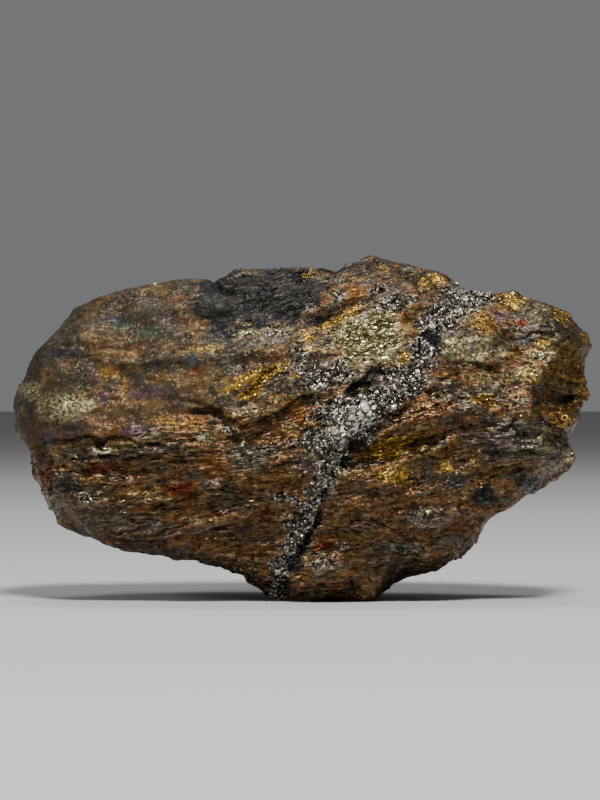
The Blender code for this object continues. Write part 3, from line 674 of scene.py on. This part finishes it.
def mark_minerals(mesh):
    """Keeps what each point is made of, how its fibres lie, and how deep it is in a hollow."""
    points = mesh_rows(mesh, "co") / MM
    normals = mesh_rows(mesh, "normal")
    layers = layer_height(points)
    fibrous = fibrous_share(points)
    covers = {name: patch_cover(name, points) for name in PATCHES}
    for name, cover in covers.items():
        keep_values(mesh, name, cover)

    # Where splinters, vein crystals and brassy grains have room to grow.
    clear = room_to_grow(points)
    grainy = np.maximum(covers["silver"], covers["brass"])
    tufts = smooth(-0.25, 0.4, layer_noise(points, layers, 9.0, 4.0, 9.0, 47))
    bare = (1.0 - grainy) * (1.0 - 0.85 * covers["olive"]) * (1.0 - 0.6 * covers["charcoal"])
    bare *= smooth(-0.6, -0.1, normals[:, 2])
    keep_values(mesh, "splinter_room", clear * bare * fibrous ** 2 * tufts)
    open_crack = smooth(0.25, 0.8, crack_depth(points))
    silvery = covers["silver"] * (1.0 - open_crack) * (1.0 - covers["charcoal"])
    keep_values(mesh, "silver_room", clear * smooth(0.25, 0.9, silvery))
    brassy = np.maximum(0.4 * covers["gold"], covers["brass"])
    keep_values(mesh, "brass_room", clear * smooth(0.3, 0.9, brassy))

    keep_values(mesh, "fibre_way", fibre_way(points, normals), "FLOAT_VECTOR")
    # Browner under the brow: partly the ore's own colour, partly painted warm bounce light.
    keep_values(mesh, "brown_and_warm_bounce", below_brow(points))
    keep_values(mesh, "fibrous", fibrous)
    keep_values(mesh, "fibres", rows(points[:, 0], layers, points[:, 1]), "FLOAT_VECTOR")
    # For the material's painted shade in pits and hollows, and its painted highlight on the lips.
    small_hollow = hollowness(mesh, PIT_ROUNDS)
    keep_values(mesh, "pit", smooth(0.0, 0.30, small_hollow))
    keep_values(mesh, "lip", smooth(0.0, 0.25, -small_hollow))
    keep_values(mesh, "hollow", smooth(0.0, 0.9, hollowness(mesh, HOLLOW_ROUNDS)))


stone = even_skin(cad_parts["peacock_ore"], "ore_stone")
tear(stone)
fewer_faces(stone, STONE_TRIANGLES)
mark_minerals(stone.data)
stone.data.shade_smooth()

# The ore's colours, from dark to bright: the tone from 0 to 1, then red, green and blue there.
BARE_ORE = {
    "bronze": [(0.34, 0.008, 0.0061, 0.004), (0.56, 0.028, 0.0213, 0.013),
               (0.7, 0.056, 0.043, 0.027), (0.9, 0.15, 0.122, 0.083)],
    "brown": [(0.34, 0.015, 0.005, 0.002), (0.56, 0.092, 0.034, 0.009),
              (0.7, 0.155, 0.078, 0.029), (0.9, 0.34, 0.24, 0.13)],
    "ochre": [(0.34, 0.015, 0.009, 0.003), (0.56, 0.084, 0.056, 0.019),
              (0.7, 0.17, 0.125, 0.053), (0.9, 0.45, 0.39, 0.24)],
    "grey": [(0.34, 0.008, 0.0068, 0.0052), (0.56, 0.038, 0.033, 0.025),
             (0.7, 0.086, 0.077, 0.06), (0.9, 0.3, 0.275, 0.225)],
}
TARNISH = {
    "ash": [(0.34, 0.011, 0.0095, 0.007), (0.56, 0.05, 0.0435, 0.033),
            (0.7, 0.112, 0.099, 0.078), (0.9, 0.34, 0.31, 0.255)],
    "pale": [(0.3, 0.018, 0.0145, 0.0085), (0.6, 0.058, 0.049, 0.03), (0.9, 0.23, 0.21, 0.145)],
    "olive": [(0.3, 0.009, 0.004, 0.001), (0.6, 0.05, 0.027, 0.003), (0.9, 0.202, 0.122, 0.025)],
    "rust": [(0.3, 0.028, 0.01, 0.003), (0.58, 0.094, 0.038, 0.01), (0.9, 0.27, 0.145, 0.05)],
    "red": [(0.3, 0.02, 0.004, 0.002), (0.6, 0.08, 0.017, 0.007), (0.9, 0.22, 0.06, 0.03)],
    "violet": [(0.3, 0.016, 0.008, 0.011), (0.6, 0.066, 0.039, 0.047), (0.9, 0.26, 0.18, 0.2)],
    "blue": [(0.3, 0.007, 0.008, 0.01), (0.6, 0.03, 0.034, 0.039), (0.9, 0.2, 0.225, 0.25)],
    "green": [(0.3, 0.01, 0.011, 0.007), (0.6, 0.04, 0.046, 0.029), (0.9, 0.25, 0.29, 0.2)],
    "gold": [(0.3, 0.03, 0.016, 0.004), (0.52, 0.17, 0.095, 0.017),
             (0.72, 0.5, 0.32, 0.065), (0.9, 0.95, 0.7, 0.24)],
    "brass": [(0.25, 0.07, 0.055, 0.022), (0.55, 0.32, 0.27, 0.125), (0.85, 0.93, 0.87, 0.53)],
    "silver": [(0.3, 0.024, 0.02, 0.018), (0.5, 0.085, 0.074, 0.064),
               (0.7, 0.19, 0.175, 0.155), (0.95, 0.95, 0.93, 0.9)],
    "charcoal": [(0.38, 0.0042, 0.0041, 0.004), (0.64, 0.017, 0.016, 0.0155),
                 (0.9, 0.1, 0.098, 0.096)],
}

# Flecks of every tarnish lie on the bare ore, and a thin film shifts its colour by its thickness.
FLECKS = [(0, 0.17, 0.065, 0.015), (0.25, 0.11, 0.065, 0.08), (0.45, 0.07, 0.09, 0.07),
          (0.65, 0.16, 0.11, 0.035), (0.85, 0.24, 0.21, 0.13), (1, 0.09, 0.1, 0.125)]
FILM = [(0.36, 1.08, 0.82, 1.06), (0.43, 0.98, 0.97, 0.98), (0.48, 0.98, 1.04, 0.8),
        (0.53, 1.14, 0.84, 0.6), (0.58, 0.98, 1, 0.92), (0.65, 0.82, 1.04, 1.02)]

# The patterns of the break. Those on the layers have this many units to a millimetre along them,
# through them and into the stone, and the others to a metre. Then come detail and roughness.
ON_LAYERS = {"fine": ((0.35, 2.8, 1.1), 4, 0.65), "broad": ((0.16, 0.5, 0.25), 4, 0.6),
             "streak": ((0.1, 0.36, 0.22), 5, 0.66)}
ON_STONE = {"mottle": (110, 5, 0.6), "speckle": (1100, 4, 0.75), "film": ((400, 400, 640), 3, 0.55),
            "crumbs": ((420, 520, 620), 4, 0.65), "waver": (260, 3, 0.55)}
SLIVERS = (0.55, 2.9, 1.1)
GRAINS = 2300
FLAKES = (650, 900, 1700)
FLAKE_CLIMB = math.radians(24)

# The minerals that show as grains, not as splinters, and how far each stains all of its patch.
IN_GRAINS = ("pale", "violet", "blue", "green", "brass", "silver")
STAINS = {
    "ash": 0.5, "pale": 0.5, "olive": 0.5, "rust": 0.3, "red": 0.5, "violet": 0.3, "blue": 0.4,
    "green": 0.4, "gold": 0.45, "brass": 0.8, "silver": 0.65, "charcoal": 0.6,
}
# Painted shade for the pits, hollows and cracks of the skin.
PAINTED_HOLLOW_SHADE = (0.009, 0.006, 0.004)
SEAM_DIRT = (0.035, 0.028, 0.014)
HALF = (0.5, 0.5, 0.5)
BUMP = 0.16 * MM


class Nodes:
    """Puts a tree of nodes together."""

    def __init__(self, tree):
        self.tree = tree

    def set(self, socket, value):
        """Links a node's output to a socket, or sets a constant on it."""
        if isinstance(value, bpy.types.NodeSocket):
            self.tree.links.new(value, socket)
        elif isinstance(value, tuple) and socket.type == "RGBA":
            socket.default_value = (*value, 1.0)
        else:
            socket.default_value = value

    def add(self, kind, inputs, output=0, **choices):
        """An output of a new node, whose inputs go by name or number."""
        node = self.tree.nodes.new(kind)
        for key, choice in choices.items():
            setattr(node, key, choice)
        for key, value in inputs.items():
            self.set(node.inputs[key], value)
        return node.outputs[output]

    def vector(self, operation, *vectors, **scale):
        inputs = {**dict(enumerate(vectors)), **scale}
        return self.add("ShaderNodeVectorMath", inputs, operation=operation)

    def calc(self, operation, *values, clamp=False):
        inputs = dict(enumerate(values))
        return self.add("ShaderNodeMath", inputs, operation=operation, use_clamp=clamp)

    def times(self, one, other, plus=None):
        """A product, and perhaps a third number added to it."""
        if plus is None:
            return self.calc("MULTIPLY", one, other)
        return self.calc("MULTIPLY_ADD", one, other, plus)


class Shades(Nodes):
    """Puts a material together."""

    def __init__(self, name):
        self.material = bpy.data.materials.new(name)
        self.material.use_nodes = True
        super().__init__(self.material.node_tree)
        self.shader = self.tree.nodes["Principled BSDF"].inputs

    def kept(self, name, output="Fac"):
        """A value kept on the mesh."""
        return self.add("ShaderNodeAttribute", {}, output, attribute_name=name)

    def place(self, source, scale, turn=(0.0, 0.0, 0.0)):
        """Places on the stone, with this many pattern units to a metre or millimetre."""
        if not isinstance(scale, tuple):
            scale = (scale, scale, scale)
        return self.add("ShaderNodeMapping", {"Vector": source, "Scale": scale, "Rotation": turn})

    def noise(self, source, scale, detail, roughness):
        inputs = {"Vector": self.place(source, scale), "Scale": 1.0, "Detail": detail,
                  "Roughness": roughness}
        return self.add("ShaderNodeTexNoise", inputs)

    def cells(self, place, output="Color", feature="F1"):
        inputs = {"Vector": place, "Scale": 1.0}
        return self.add("ShaderNodeTexVoronoi", inputs, output, feature=feature)

    def part(self, vector, axis):
        return self.add("ShaderNodeSeparateXYZ", {0: vector}, axis)

    def range(self, value, low, high, to_low=0.0, to_high=1.0):
        """An S-curve that goes from to_low to to_high, where the value goes from low to high."""
        inputs = {"Value": value, "From Min": low, "From Max": high, "To Min": to_low,
                  "To Max": to_high}
        return self.add("ShaderNodeMapRange", inputs, "Result", interpolation_type="SMOOTHSTEP")

    def mix(self, share, one, other, blend="MIX"):
        """A colour between two others."""
        inputs = {0: share, 6: one, 7: other}
        return self.add("ShaderNodeMix", inputs, 2, data_type="RGBA", blend_type=blend)

    def blend(self, share, one, other):
        """A number between two others."""
        return self.times(share, self.calc("SUBTRACT", other, one), one)

    def ramp(self, value, stops):
        """Colours along a value from 0 to 1."""
        node = self.tree.nodes.new("ShaderNodeValToRGB")
        while len(node.color_ramp.elements) < len(stops):
            node.color_ramp.elements.new(0.5)
        for element, (place, *colour) in zip(node.color_ramp.elements, stops):
            element.position = place
            element.color = (*colour, 1.0)
        self.set(node.inputs[0], value)
        return node.outputs["Color"]


def ore_material():
    """Tarnished ore: dark bronze splinters, and patches of each mineral and tarnish."""
    ore = Shades("peacock_tarnish")
    place = ore.add("ShaderNodeTexCoord", {}, "Object")
    noises = {name: ore.noise(place, *how) for name, how in ON_STONE.items()}
    waver = ore.times(ore.calc("SUBTRACT", noises["waver"], 0.5), 2.6)
    waver = ore.vector("SCALE", (0.0, 1.0, 0.0), Scale=waver)
    fibres = ore.vector("ADD", ore.kept("fibres", "Vector"), waver)
    noises.update((name, ore.noise(fibres, *how)) for name, how in ON_LAYERS.items())
    speckle = noises["speckle"]
    mottle = noises["mottle"]
    sliver = ore.cells(ore.place(fibres, SLIVERS))
    grain = ore.cells(ore.place(place, GRAINS))
    grain_tone = ore.part(grain, 0)
    flake = ore.place(place, FLAKES, (0.0, FLAKE_CLIMB, 0.0))
    flake_edge = ore.cells(flake, "Distance", "DISTANCE_TO_EDGE")
    fibrous = ore.kept("fibrous")
    along_fibres = ore.range(fibrous, 0.1, 0.75)

    def by_fibres(crumbly, coarse):
        """A number that goes from one to the other as the crumbly break becomes fibres."""
        return ore.blend(along_fibres, crumbly, coarse)

    def by_break(dull, coarse):
        """The same, but over all the way from the dullest break to the coarsest."""
        return ore.range(fibrous, 0.1, 1.0, dull, coarse)

    fine = by_fibres(noises["crumbs"], noises["fine"])
    streak = by_fibres(mottle, noises["streak"])

    # Bare bronze-brown ore, each splinter its own tone, with flecks of every tarnish.
    tone = ore.times(ore.calc("SUBTRACT", ore.part(sliver, 0), 0.5), ore.times(fibrous, 0.34), 0.19)
    tone = ore.times(fine, 0.42, tone)
    tone = ore.times(speckle, 0.40, tone)
    tone = ore.times(ore.calc("SUBTRACT", tone, 0.6), by_fibres(0.85, 0.95), 0.6)
    bare = {name: ore.ramp(tone, stops) for name, stops in BARE_ORE.items()}
    # Browner under the brow: partly the ore's own colour, partly painted warm bounce light.
    brown_and_warm_bounce = ore.times(ore.kept("brown_and_warm_bounce"), 0.24, ore.calc("SUBTRACT", mottle, 0.08))
    colour = ore.mix(ore.range(brown_and_warm_bounce, 0.40, 0.62), bare["bronze"], bare["brown"])
    in_ochre = ore.range(streak, 0.53, 0.58, 0.0, by_fibres(0.5, 0.85))
    colour = ore.mix(in_ochre, colour, bare["ochre"])
    in_grey = ore.range(streak, 0.48, 0.42, 0.0, by_fibres(0.6, 0.9))
    colour = ore.mix(in_grey, colour, bare["grey"])
    flecked = ore.times(ore.range(grain_tone, 0.55, 0.85), by_break(0.3, 0.55))
    colour = ore.mix(flecked, colour, ore.ramp(ore.part(grain, 1), FLECKS))

    def lucky(source):
        """Chance by splinter or grain, and by noise of two sizes."""
        luck = ore.times(speckle, 0.55, ore.times(source, 0.35))
        return ore.times(noises["broad"], 0.35, luck)

    def cover(name, luck):
        """Where a mineral shows: a stain all over its patch, and crisp splinters or grains."""
        wanted = ore.times(ore.kept(name), 1.25, ore.times(luck, -1.0))
        crisp = ore.range(wanted, 0.0, 0.25)
        return ore.calc("MAXIMUM", crisp, ore.times(ore.kept(name), STAINS[name]))

    luck = lucky(ore.part(sliver, 1))
    grit = lucky(ore.part(grain, 2))
    shares = {name: cover(name, grit if name in IN_GRAINS else luck) for name in STAINS}

    # A grain that stands out of the stone has one tone of its own.
    own_tone = ore.kept("grain_luck")
    on_grain = ore.calc("GREATER_THAN", own_tone, 0.01)
    crumb = ore.times(speckle, 0.6, ore.times(grain_tone, 0.7))
    own_crumb = ore.times(own_tone, 0.54, ore.times(speckle, 0.64))
    crumb = ore.blend(on_grain, crumb, own_crumb)
    tints = {name: ore.ramp(crumb if name in ("brass", "silver") else tone, stops)
             for name, stops in TARNISH.items()}
    # Some of the vein's grains are the brown ore round it.
    browned = ore.range(ore.part(grain, 1), 0.55, 0.8, 0.0, 0.6)
    tints["silver"] = ore.mix(browned, tints["silver"], bare["ochre"])
    bright = ore.calc("MAXIMUM", shares["brass"], shares["silver"])
    bright = ore.calc("MAXIMUM", shares["gold"], bright)
    for name, share in shares.items():
        colour = ore.mix(share, colour, tints[name])
    film = ore.ramp(noises["film"], FILM)
    colour = ore.mix(ore.times(bright, -0.5, 0.8), colour, film, "MULTIPLY")

    # Dirt in the brass seams, painted shade in every hollow, and painted highlights on the lips.
    seam = ore.times(ore.range(flake_edge, 0.10, 0.02), shares["brass"])
    colour = ore.mix(ore.times(seam, 0.85), colour, SEAM_DIRT)
    # Painted shade: the colour darkens where the skin lies in a pit or a hollow.
    dark = ore.calc("MAXIMUM", ore.kept("pit"), ore.times(ore.kept("hollow"), 0.7))
    colour = ore.mix(ore.times(dark, by_fibres(0.55, 0.68)), colour, PAINTED_HOLLOW_SHADE)
    # Painted highlight: the colour is lightened on the lips, most where the break is fibrous.
    lit = ore.range(ore.kept("lip"), 0.0, 1.0, 1.0, by_fibres(1.15, 1.6))
    dull_grain = ore.calc("SUBTRACT", on_grain, bright, clamp=True)
    lit = ore.times(lit, ore.blend(dull_grain, 1.0, 0.75))
    ore.set(ore.shader["Base Color"], ore.vector("SCALE", colour, Scale=lit))

    metallic = ore.range(bright, 0.0, 1.0, by_fibres(0.78, 0.93), 0.98)
    ore.set(ore.shader["Metallic"], metallic)
    rough = ore.range(ore.part(sliver, 2), 0.1, 0.9, 0.22, 0.46)
    rough = ore.times(fibrous, -0.30, ore.calc("ADD", rough, 0.30))
    ore.set(ore.shader["Roughness"], ore.calc("SUBTRACT", rough, ore.times(bright, 0.11)))

    # Each splinter and crystal faces its own way, which is what makes the stone glitter.
    turned = ore.vector("SUBTRACT", sliver, HALF)
    turned = ore.vector("SCALE", turned, Scale=by_break(0.12, 0.75))
    glitter = ore.blend(bright, by_break(0.42, 0.6), 1.25)
    sparkle = ore.vector("SUBTRACT", grain, HALF)
    sparkle = ore.vector("SCALE", sparkle, Scale=ore.blend(on_grain, glitter, 0.35))
    outward = ore.add("ShaderNodeNewGeometry", {}, "Normal")
    tilted = ore.vector("ADD", outward, ore.vector("ADD", turned, sparkle))
    tilted = ore.vector("NORMALIZE", tilted)
    height = ore.calc("ADD", fine, ore.times(speckle, 0.5))
    bump = {"Height": height, "Distance": BUMP, "Strength": by_break(0.5, 0.8), "Normal": tilted}
    ore.set(ore.shader["Normal"], ore.add("ShaderNodeBump", bump))
    return ore.material


ORE = ore_material()
stone.data.materials.clear()
stone.data.materials.append(ORE)
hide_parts("peacock_ore")
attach(stone, "root")


# The splinters. The break left thin blades of the same ore lifted from the torn layers. Each lies
# along its layer, most of it sunk there, and has the tarnish of the place where it stands. Its
# length, width and height vary between these two shares of the usual ones.
LEAST_SIZE = (0.45, 0.55, 0.55)
MOST_SIZE = (1.55, 1.45, 1.45)


def grain_tree(name, room, sizes):
    """Grains seated on the stone: thick where there is room, along the fibres, then tumbled."""
    tree = bpy.data.node_groups.new(name, "GeometryNodeTree")
    face = tree.interface
    face.new_socket("Stone", in_out="INPUT", socket_type="NodeSocketGeometry")
    for label, value in sizes.items():
        kind = "NodeSocketInt" if isinstance(value, int) else "NodeSocketFloat"
        face.new_socket(label, in_out="INPUT", socket_type=kind)
    face.new_socket("Grains", in_out="OUTPUT", socket_type="NodeSocketGeometry")
    given = tree.nodes.new("NodeGroupInput").outputs
    result = tree.nodes.new("NodeGroupOutput").inputs["Grains"]
    steps = Nodes(tree)

    def kept(name, kind):
        inputs = {"Name": name}
        return steps.add("GeometryNodeInputNamedAttribute", inputs, "Attribute", data_type=kind)

    def chance(low, high):
        inputs = {0: low, 1: high, "Seed": given["Seed"]}
        return steps.add("FunctionNodeRandomValue", inputs, data_type="FLOAT_VECTOR")

    # Where the grains stand, sunk a little into the stone.
    spots = tree.nodes.new("GeometryNodeDistributePointsOnFaces")
    spots.distribute_method = "RANDOM"
    steps.set(spots.inputs["Mesh"], given["Stone"])
    steps.set(spots.inputs["Density"], steps.times(kept(room, "FLOAT"), given["Density"]))
    steps.set(spots.inputs["Seed"], given["Seed"])
    outward = spots.outputs["Normal"]
    sunk = steps.vector("SCALE", outward, Scale=steps.times(given["Sink"], -1.0))
    seats = steps.add("GeometryNodeSetPosition",
                      {"Geometry": spots.outputs["Points"], "Offset": sunk})

    # How each grain lies: along the fibres and flat on the skin, then rolled and tumbled.
    turn = steps.add("FunctionNodeAlignRotationToVector",
                     {"Vector": kept("fibre_way", "FLOAT_VECTOR")}, axis="X")
    turn = steps.add("FunctionNodeAlignRotationToVector", {"Rotation": turn, "Vector": outward},
                     axis="Z", pivot_axis="X")
    most = steps.add("ShaderNodeCombineXYZ",
                     {0: given["Roll"], 1: given["Tumble"], 2: given["Tumble"]})
    least = steps.vector("SCALE", most, Scale=-1.0)
    turn = steps.add("FunctionNodeRotateRotation",
                     {"Rotation": turn, "Rotate By": chance(least, most)}, rotation_space="LOCAL")

    # How large it is, and how lucky its own tone is.
    size = steps.add("ShaderNodeCombineXYZ",
                     {0: given["Length"], 1: given["Width"], 2: given["Height"]})
    size = steps.vector("MULTIPLY", size, chance(LEAST_SIZE, MOST_SIZE))
    luck = steps.add("FunctionNodeRandomValue", {"Min": 0.02, "Max": 1.0, "Seed": given["Seed"]},
                     "Value", data_type="FLOAT")
    seats = steps.add("GeometryNodeStoreNamedAttribute",
                      {"Geometry": seats, "Name": "grain_luck", "Value": luck},
                      data_type="FLOAT", domain="POINT")

    block = steps.add("GeometryNodeMeshCube", {"Size": (1.0, 1.0, 1.0)}, "Mesh")
    grains = steps.add("GeometryNodeInstanceOnPoints",
                       {"Points": seats, "Instance": block, "Rotation": turn, "Scale": size})
    grains = steps.add("GeometryNodeRealizeInstances", {"Geometry": grains})
    grains = steps.add("GeometryNodeSetShadeSmooth", {"Geometry": grains, "Shade Smooth": False})
    grains = steps.add("GeometryNodeSetMaterial", {"Geometry": grains, "Material": ORE})
    tree.links.new(grains, result)
    return tree


def grow(name, room, sizes):
    """Grows one kind of grain on the stone, as a plain mesh of its own."""
    tree = grain_tree(name, room, sizes)
    grains = new_thing(name, stone.data.copy())
    growing = grains.modifiers.new(name, "NODES")
    growing.node_group = tree
    for label, value in sizes.items():
        growing[tree.interface.items_tree[label].identifier] = value
    bake(grains)
    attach(grains, "root")


grow("ore_splinters", "splinter_room",
     {"Density": 650000.0, "Length": 1.4 * MM, "Width": 0.36 * MM, "Height": 0.30 * MM,
      "Sink": 0.09 * MM, "Roll": 1.0, "Tumble": 0.20, "Seed": 3})

# The vein's crystals. They grew in a crack that later closed, as small silvery cubes packed
# together, and stand out of the break at every angle.
grow("vein_crystals", "silver_room",
     {"Density": 4000000.0, "Length": 0.80 * MM, "Width": 0.50 * MM, "Height": 0.40 * MM,
      "Sink": 0.09 * MM, "Roll": 3.1, "Tumble": 3.1, "Seed": 11})

# The largest crystals of the vein and the brightest nuggets. They grew in the stone like the
# small ones, as blocks with a few flat faces, and stand about half out of it, each where the
# broad face shows it: X, Z, length and width, climb in degrees, and the mineral.
BRIGHT_BLOCKS = [
    (12.2, 45.6, 2.6, 2, 30, "silver"), (14.6, 46, 3.4, 2.7, -15, "silver"),
    (15.8, 44.4, 1.9, 1.5, 60, "silver"), (13.8, 43.8, 2.1, 1.4, 10, "silver"),
    (11.6, 43.4, 2.3, 1.5, -40, "silver"), (15.6, 42.6, 1.9, 1.3, 20, "silver"),
    (16.8, 45.8, 1.5, 1.2, 0, "silver"), (12.6, 41.6, 3.6, 1.6, -8, "silver"),
    (9.4, 40.6, 2.4, 1.3, -12, "silver"), (7.8, 41, 1.7, 1.1, 10, "silver"),
    (6.2, 40.5, 1.5, 1, 0, "silver"), (34.6, 61.2, 2.4, 2, 30, "brass"),
    (64.3, 33.2, 1.4, 1.2, 0, "brass"), (29.7, 20.8, 1.6, 1.2, 10, "brass"),
    (-35.8, 75.6, 1.2, 0.8, 20, "brass"), (30.5, 58.5, 1.5, 1.2, 40, "silver"),
    (27.5, 54.6, 1.5, 1.1, 40, "silver"), (39, 71.8, 1.7, 1.1, 10, "silver"),
    (33, 66, 1.4, 1.1, 60, "silver"), (22, 50.5, 1.6, 1.1, 30, "silver"),
    (4.5, 37, 1.5, 1, 0, "silver"), (-14.6, 37.2, 1.6, 0.8, -25, "brass"),
]
BLOCK_CORNERS = 14
BLOCK_SEAT = 0.12


def block_corners(length, width, seed):
    """Corners of a rough crystal block, which its faces are then drawn round."""
    count = BLOCK_CORNERS
    ball = scatter(rows(range(count), [seed] * count, [3] * count), 60) - 0.5
    ball /= np.linalg.norm(ball, axis=1)[:, None]
    return ball * (length / 2.0, width / 2.0, width / 2.6)


def bright_blocks():
    """The largest crystals, seated on the stone along the line of sight of the broad face."""
    watcher = Vector((VIEW_SIDE, -VIEW_DISTANCE, VIEW_HEIGHT)) * MM
    shape = bmesh.new()
    covers = {name: shape.verts.layers.float.new(name) for name in ("silver", "brass")}
    for seed, (x, z, length, width, climb, mineral) in enumerate(BRIGHT_BLOCKS):
        sight = (Vector((x, 0.0, z)) * MM - watcher).normalized()
        found, seat, outward, _ = stone.ray_cast(watcher, sight)
        if not found:
            continue
        turn = (outward + Vector((0.0, -0.8, 0.5))).to_track_quat("Z", "X").to_matrix()
        turn = turn @ Matrix.Rotation(math.radians(climb), 3, "Z")
        seat += BLOCK_SEAT * length * MM * outward
        corners = []
        for corner in block_corners(length, width, seed):
            at = turn @ Vector(corner) * MM + seat
            at.y = max(at.y, cad_box[0][1])
            corners.append(shape.verts.new(at))
            corners[-1][covers[mineral]] = 1.0
        bmesh.ops.convex_hull(shape, input=corners)
    spare = [corner for corner in shape.verts if not corner.link_faces]
    bmesh.ops.delete(shape, geom=spare, context="VERTS")
    mesh = bpy.data.meshes.new("bright_blocks")
    shape.to_mesh(mesh)
    shape.free()
    points = mesh_rows(mesh, "co") / MM
    keep_values(mesh, "fibres", points, "FLOAT_VECTOR")
    keep_values(mesh, "grain_luck", np.full(len(points), 0.9))
    mesh.materials.append(ORE)
    return new_thing("bright_blocks", mesh)


blocks = bright_blocks()
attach(blocks, "root")

# The brassy grains. They are chalcopyrite, which breaks into small uneven lumps with bright
# faces, and they stand out of the ore where it is brassy or golden.
grow("brassy_grains", "brass_room",
     {"Density": 3300000.0, "Length": 1.4 * MM, "Width": 0.38 * MM, "Height": 0.32 * MM,
      "Sink": 0.09 * MM, "Roll": 1.5, "Tumble": 0.60, "Seed": 23})


# The floor. It is a wide board with a matt coat of pale grey, which runs on behind the stone
# as far as the picture shows, and lies level with the stone's flat spot.
FLOOR_HALF = 12.0
floor_mesh = bpy.data.meshes.new("floor")
floor_mesh.from_pydata([(-FLOOR_HALF, -FLOOR_HALF, 0), (FLOOR_HALF, -FLOOR_HALF, 0),
                        (FLOOR_HALF, FLOOR_HALF, 0), (-FLOOR_HALF, FLOOR_HALF, 0)],
                       [], [(0, 1, 2, 3)])
floor = new_thing("floor", floor_mesh)
board = Shades("pale_board")
board.set(board.shader["Base Color"], (0.42, 0.42, 0.41))
board.set(board.shader["Roughness"], 0.9)
floor_mesh.materials.append(board.material)


# The light. A large soft box stands above and in front of the stone, weaker ones to the left and
# behind the top, and the room is pale.
def soft_box(name, place, size, power):
    """A square lamp that faces the middle of the stone."""
    lamp = bpy.data.lights.new(name, "AREA")
    lamp.shape = "SQUARE"
    lamp.size = size
    lamp.energy = power
    box = new_thing(name, lamp)
    box.location = place
    aim = Vector((0.0, 0.0, 0.04)) - Vector(place)
    box.rotation_euler = aim.to_track_quat("-Z", "Y").to_euler()


soft_box("key_box", (0.12, -0.62, 1.02), 0.25, 22.0)
soft_box("left_box", (-1.1, -0.6, 0.7), 0.30, 5.0)
soft_box("top_box", (0.0, 0.40, 1.5), 0.6, 9.0)
room = bpy.data.worlds.new("room")
room.use_nodes = True
pale_air = room.node_tree.nodes["Background"].inputs
pale_air["Color"].default_value = (0.60, 0.61, 0.62, 1.0)
pale_air["Strength"].default_value = 0.30
bpy.context.scene.world = room

# The camera. It looks level at the broad face, from the distance at which that was read, and its
# picture is this many millimetres wide at the stone.
PICTURE_WIDTH = 144.6
eye = bpy.data.cameras.new("eye")
eye.sensor_fit = "HORIZONTAL"
eye.sensor_width = 36.0
eye.lens = eye.sensor_width * VIEW_DISTANCE / PICTURE_WIDTH
eye.clip_end = 60.0
camera = new_thing("eye", eye)
camera.location = (VIEW_SIDE * MM, -VIEW_DISTANCE * MM, VIEW_HEIGHT * MM)
camera.rotation_euler = (math.pi / 2, 0.0, 0.0)
bpy.context.scene.camera = camera
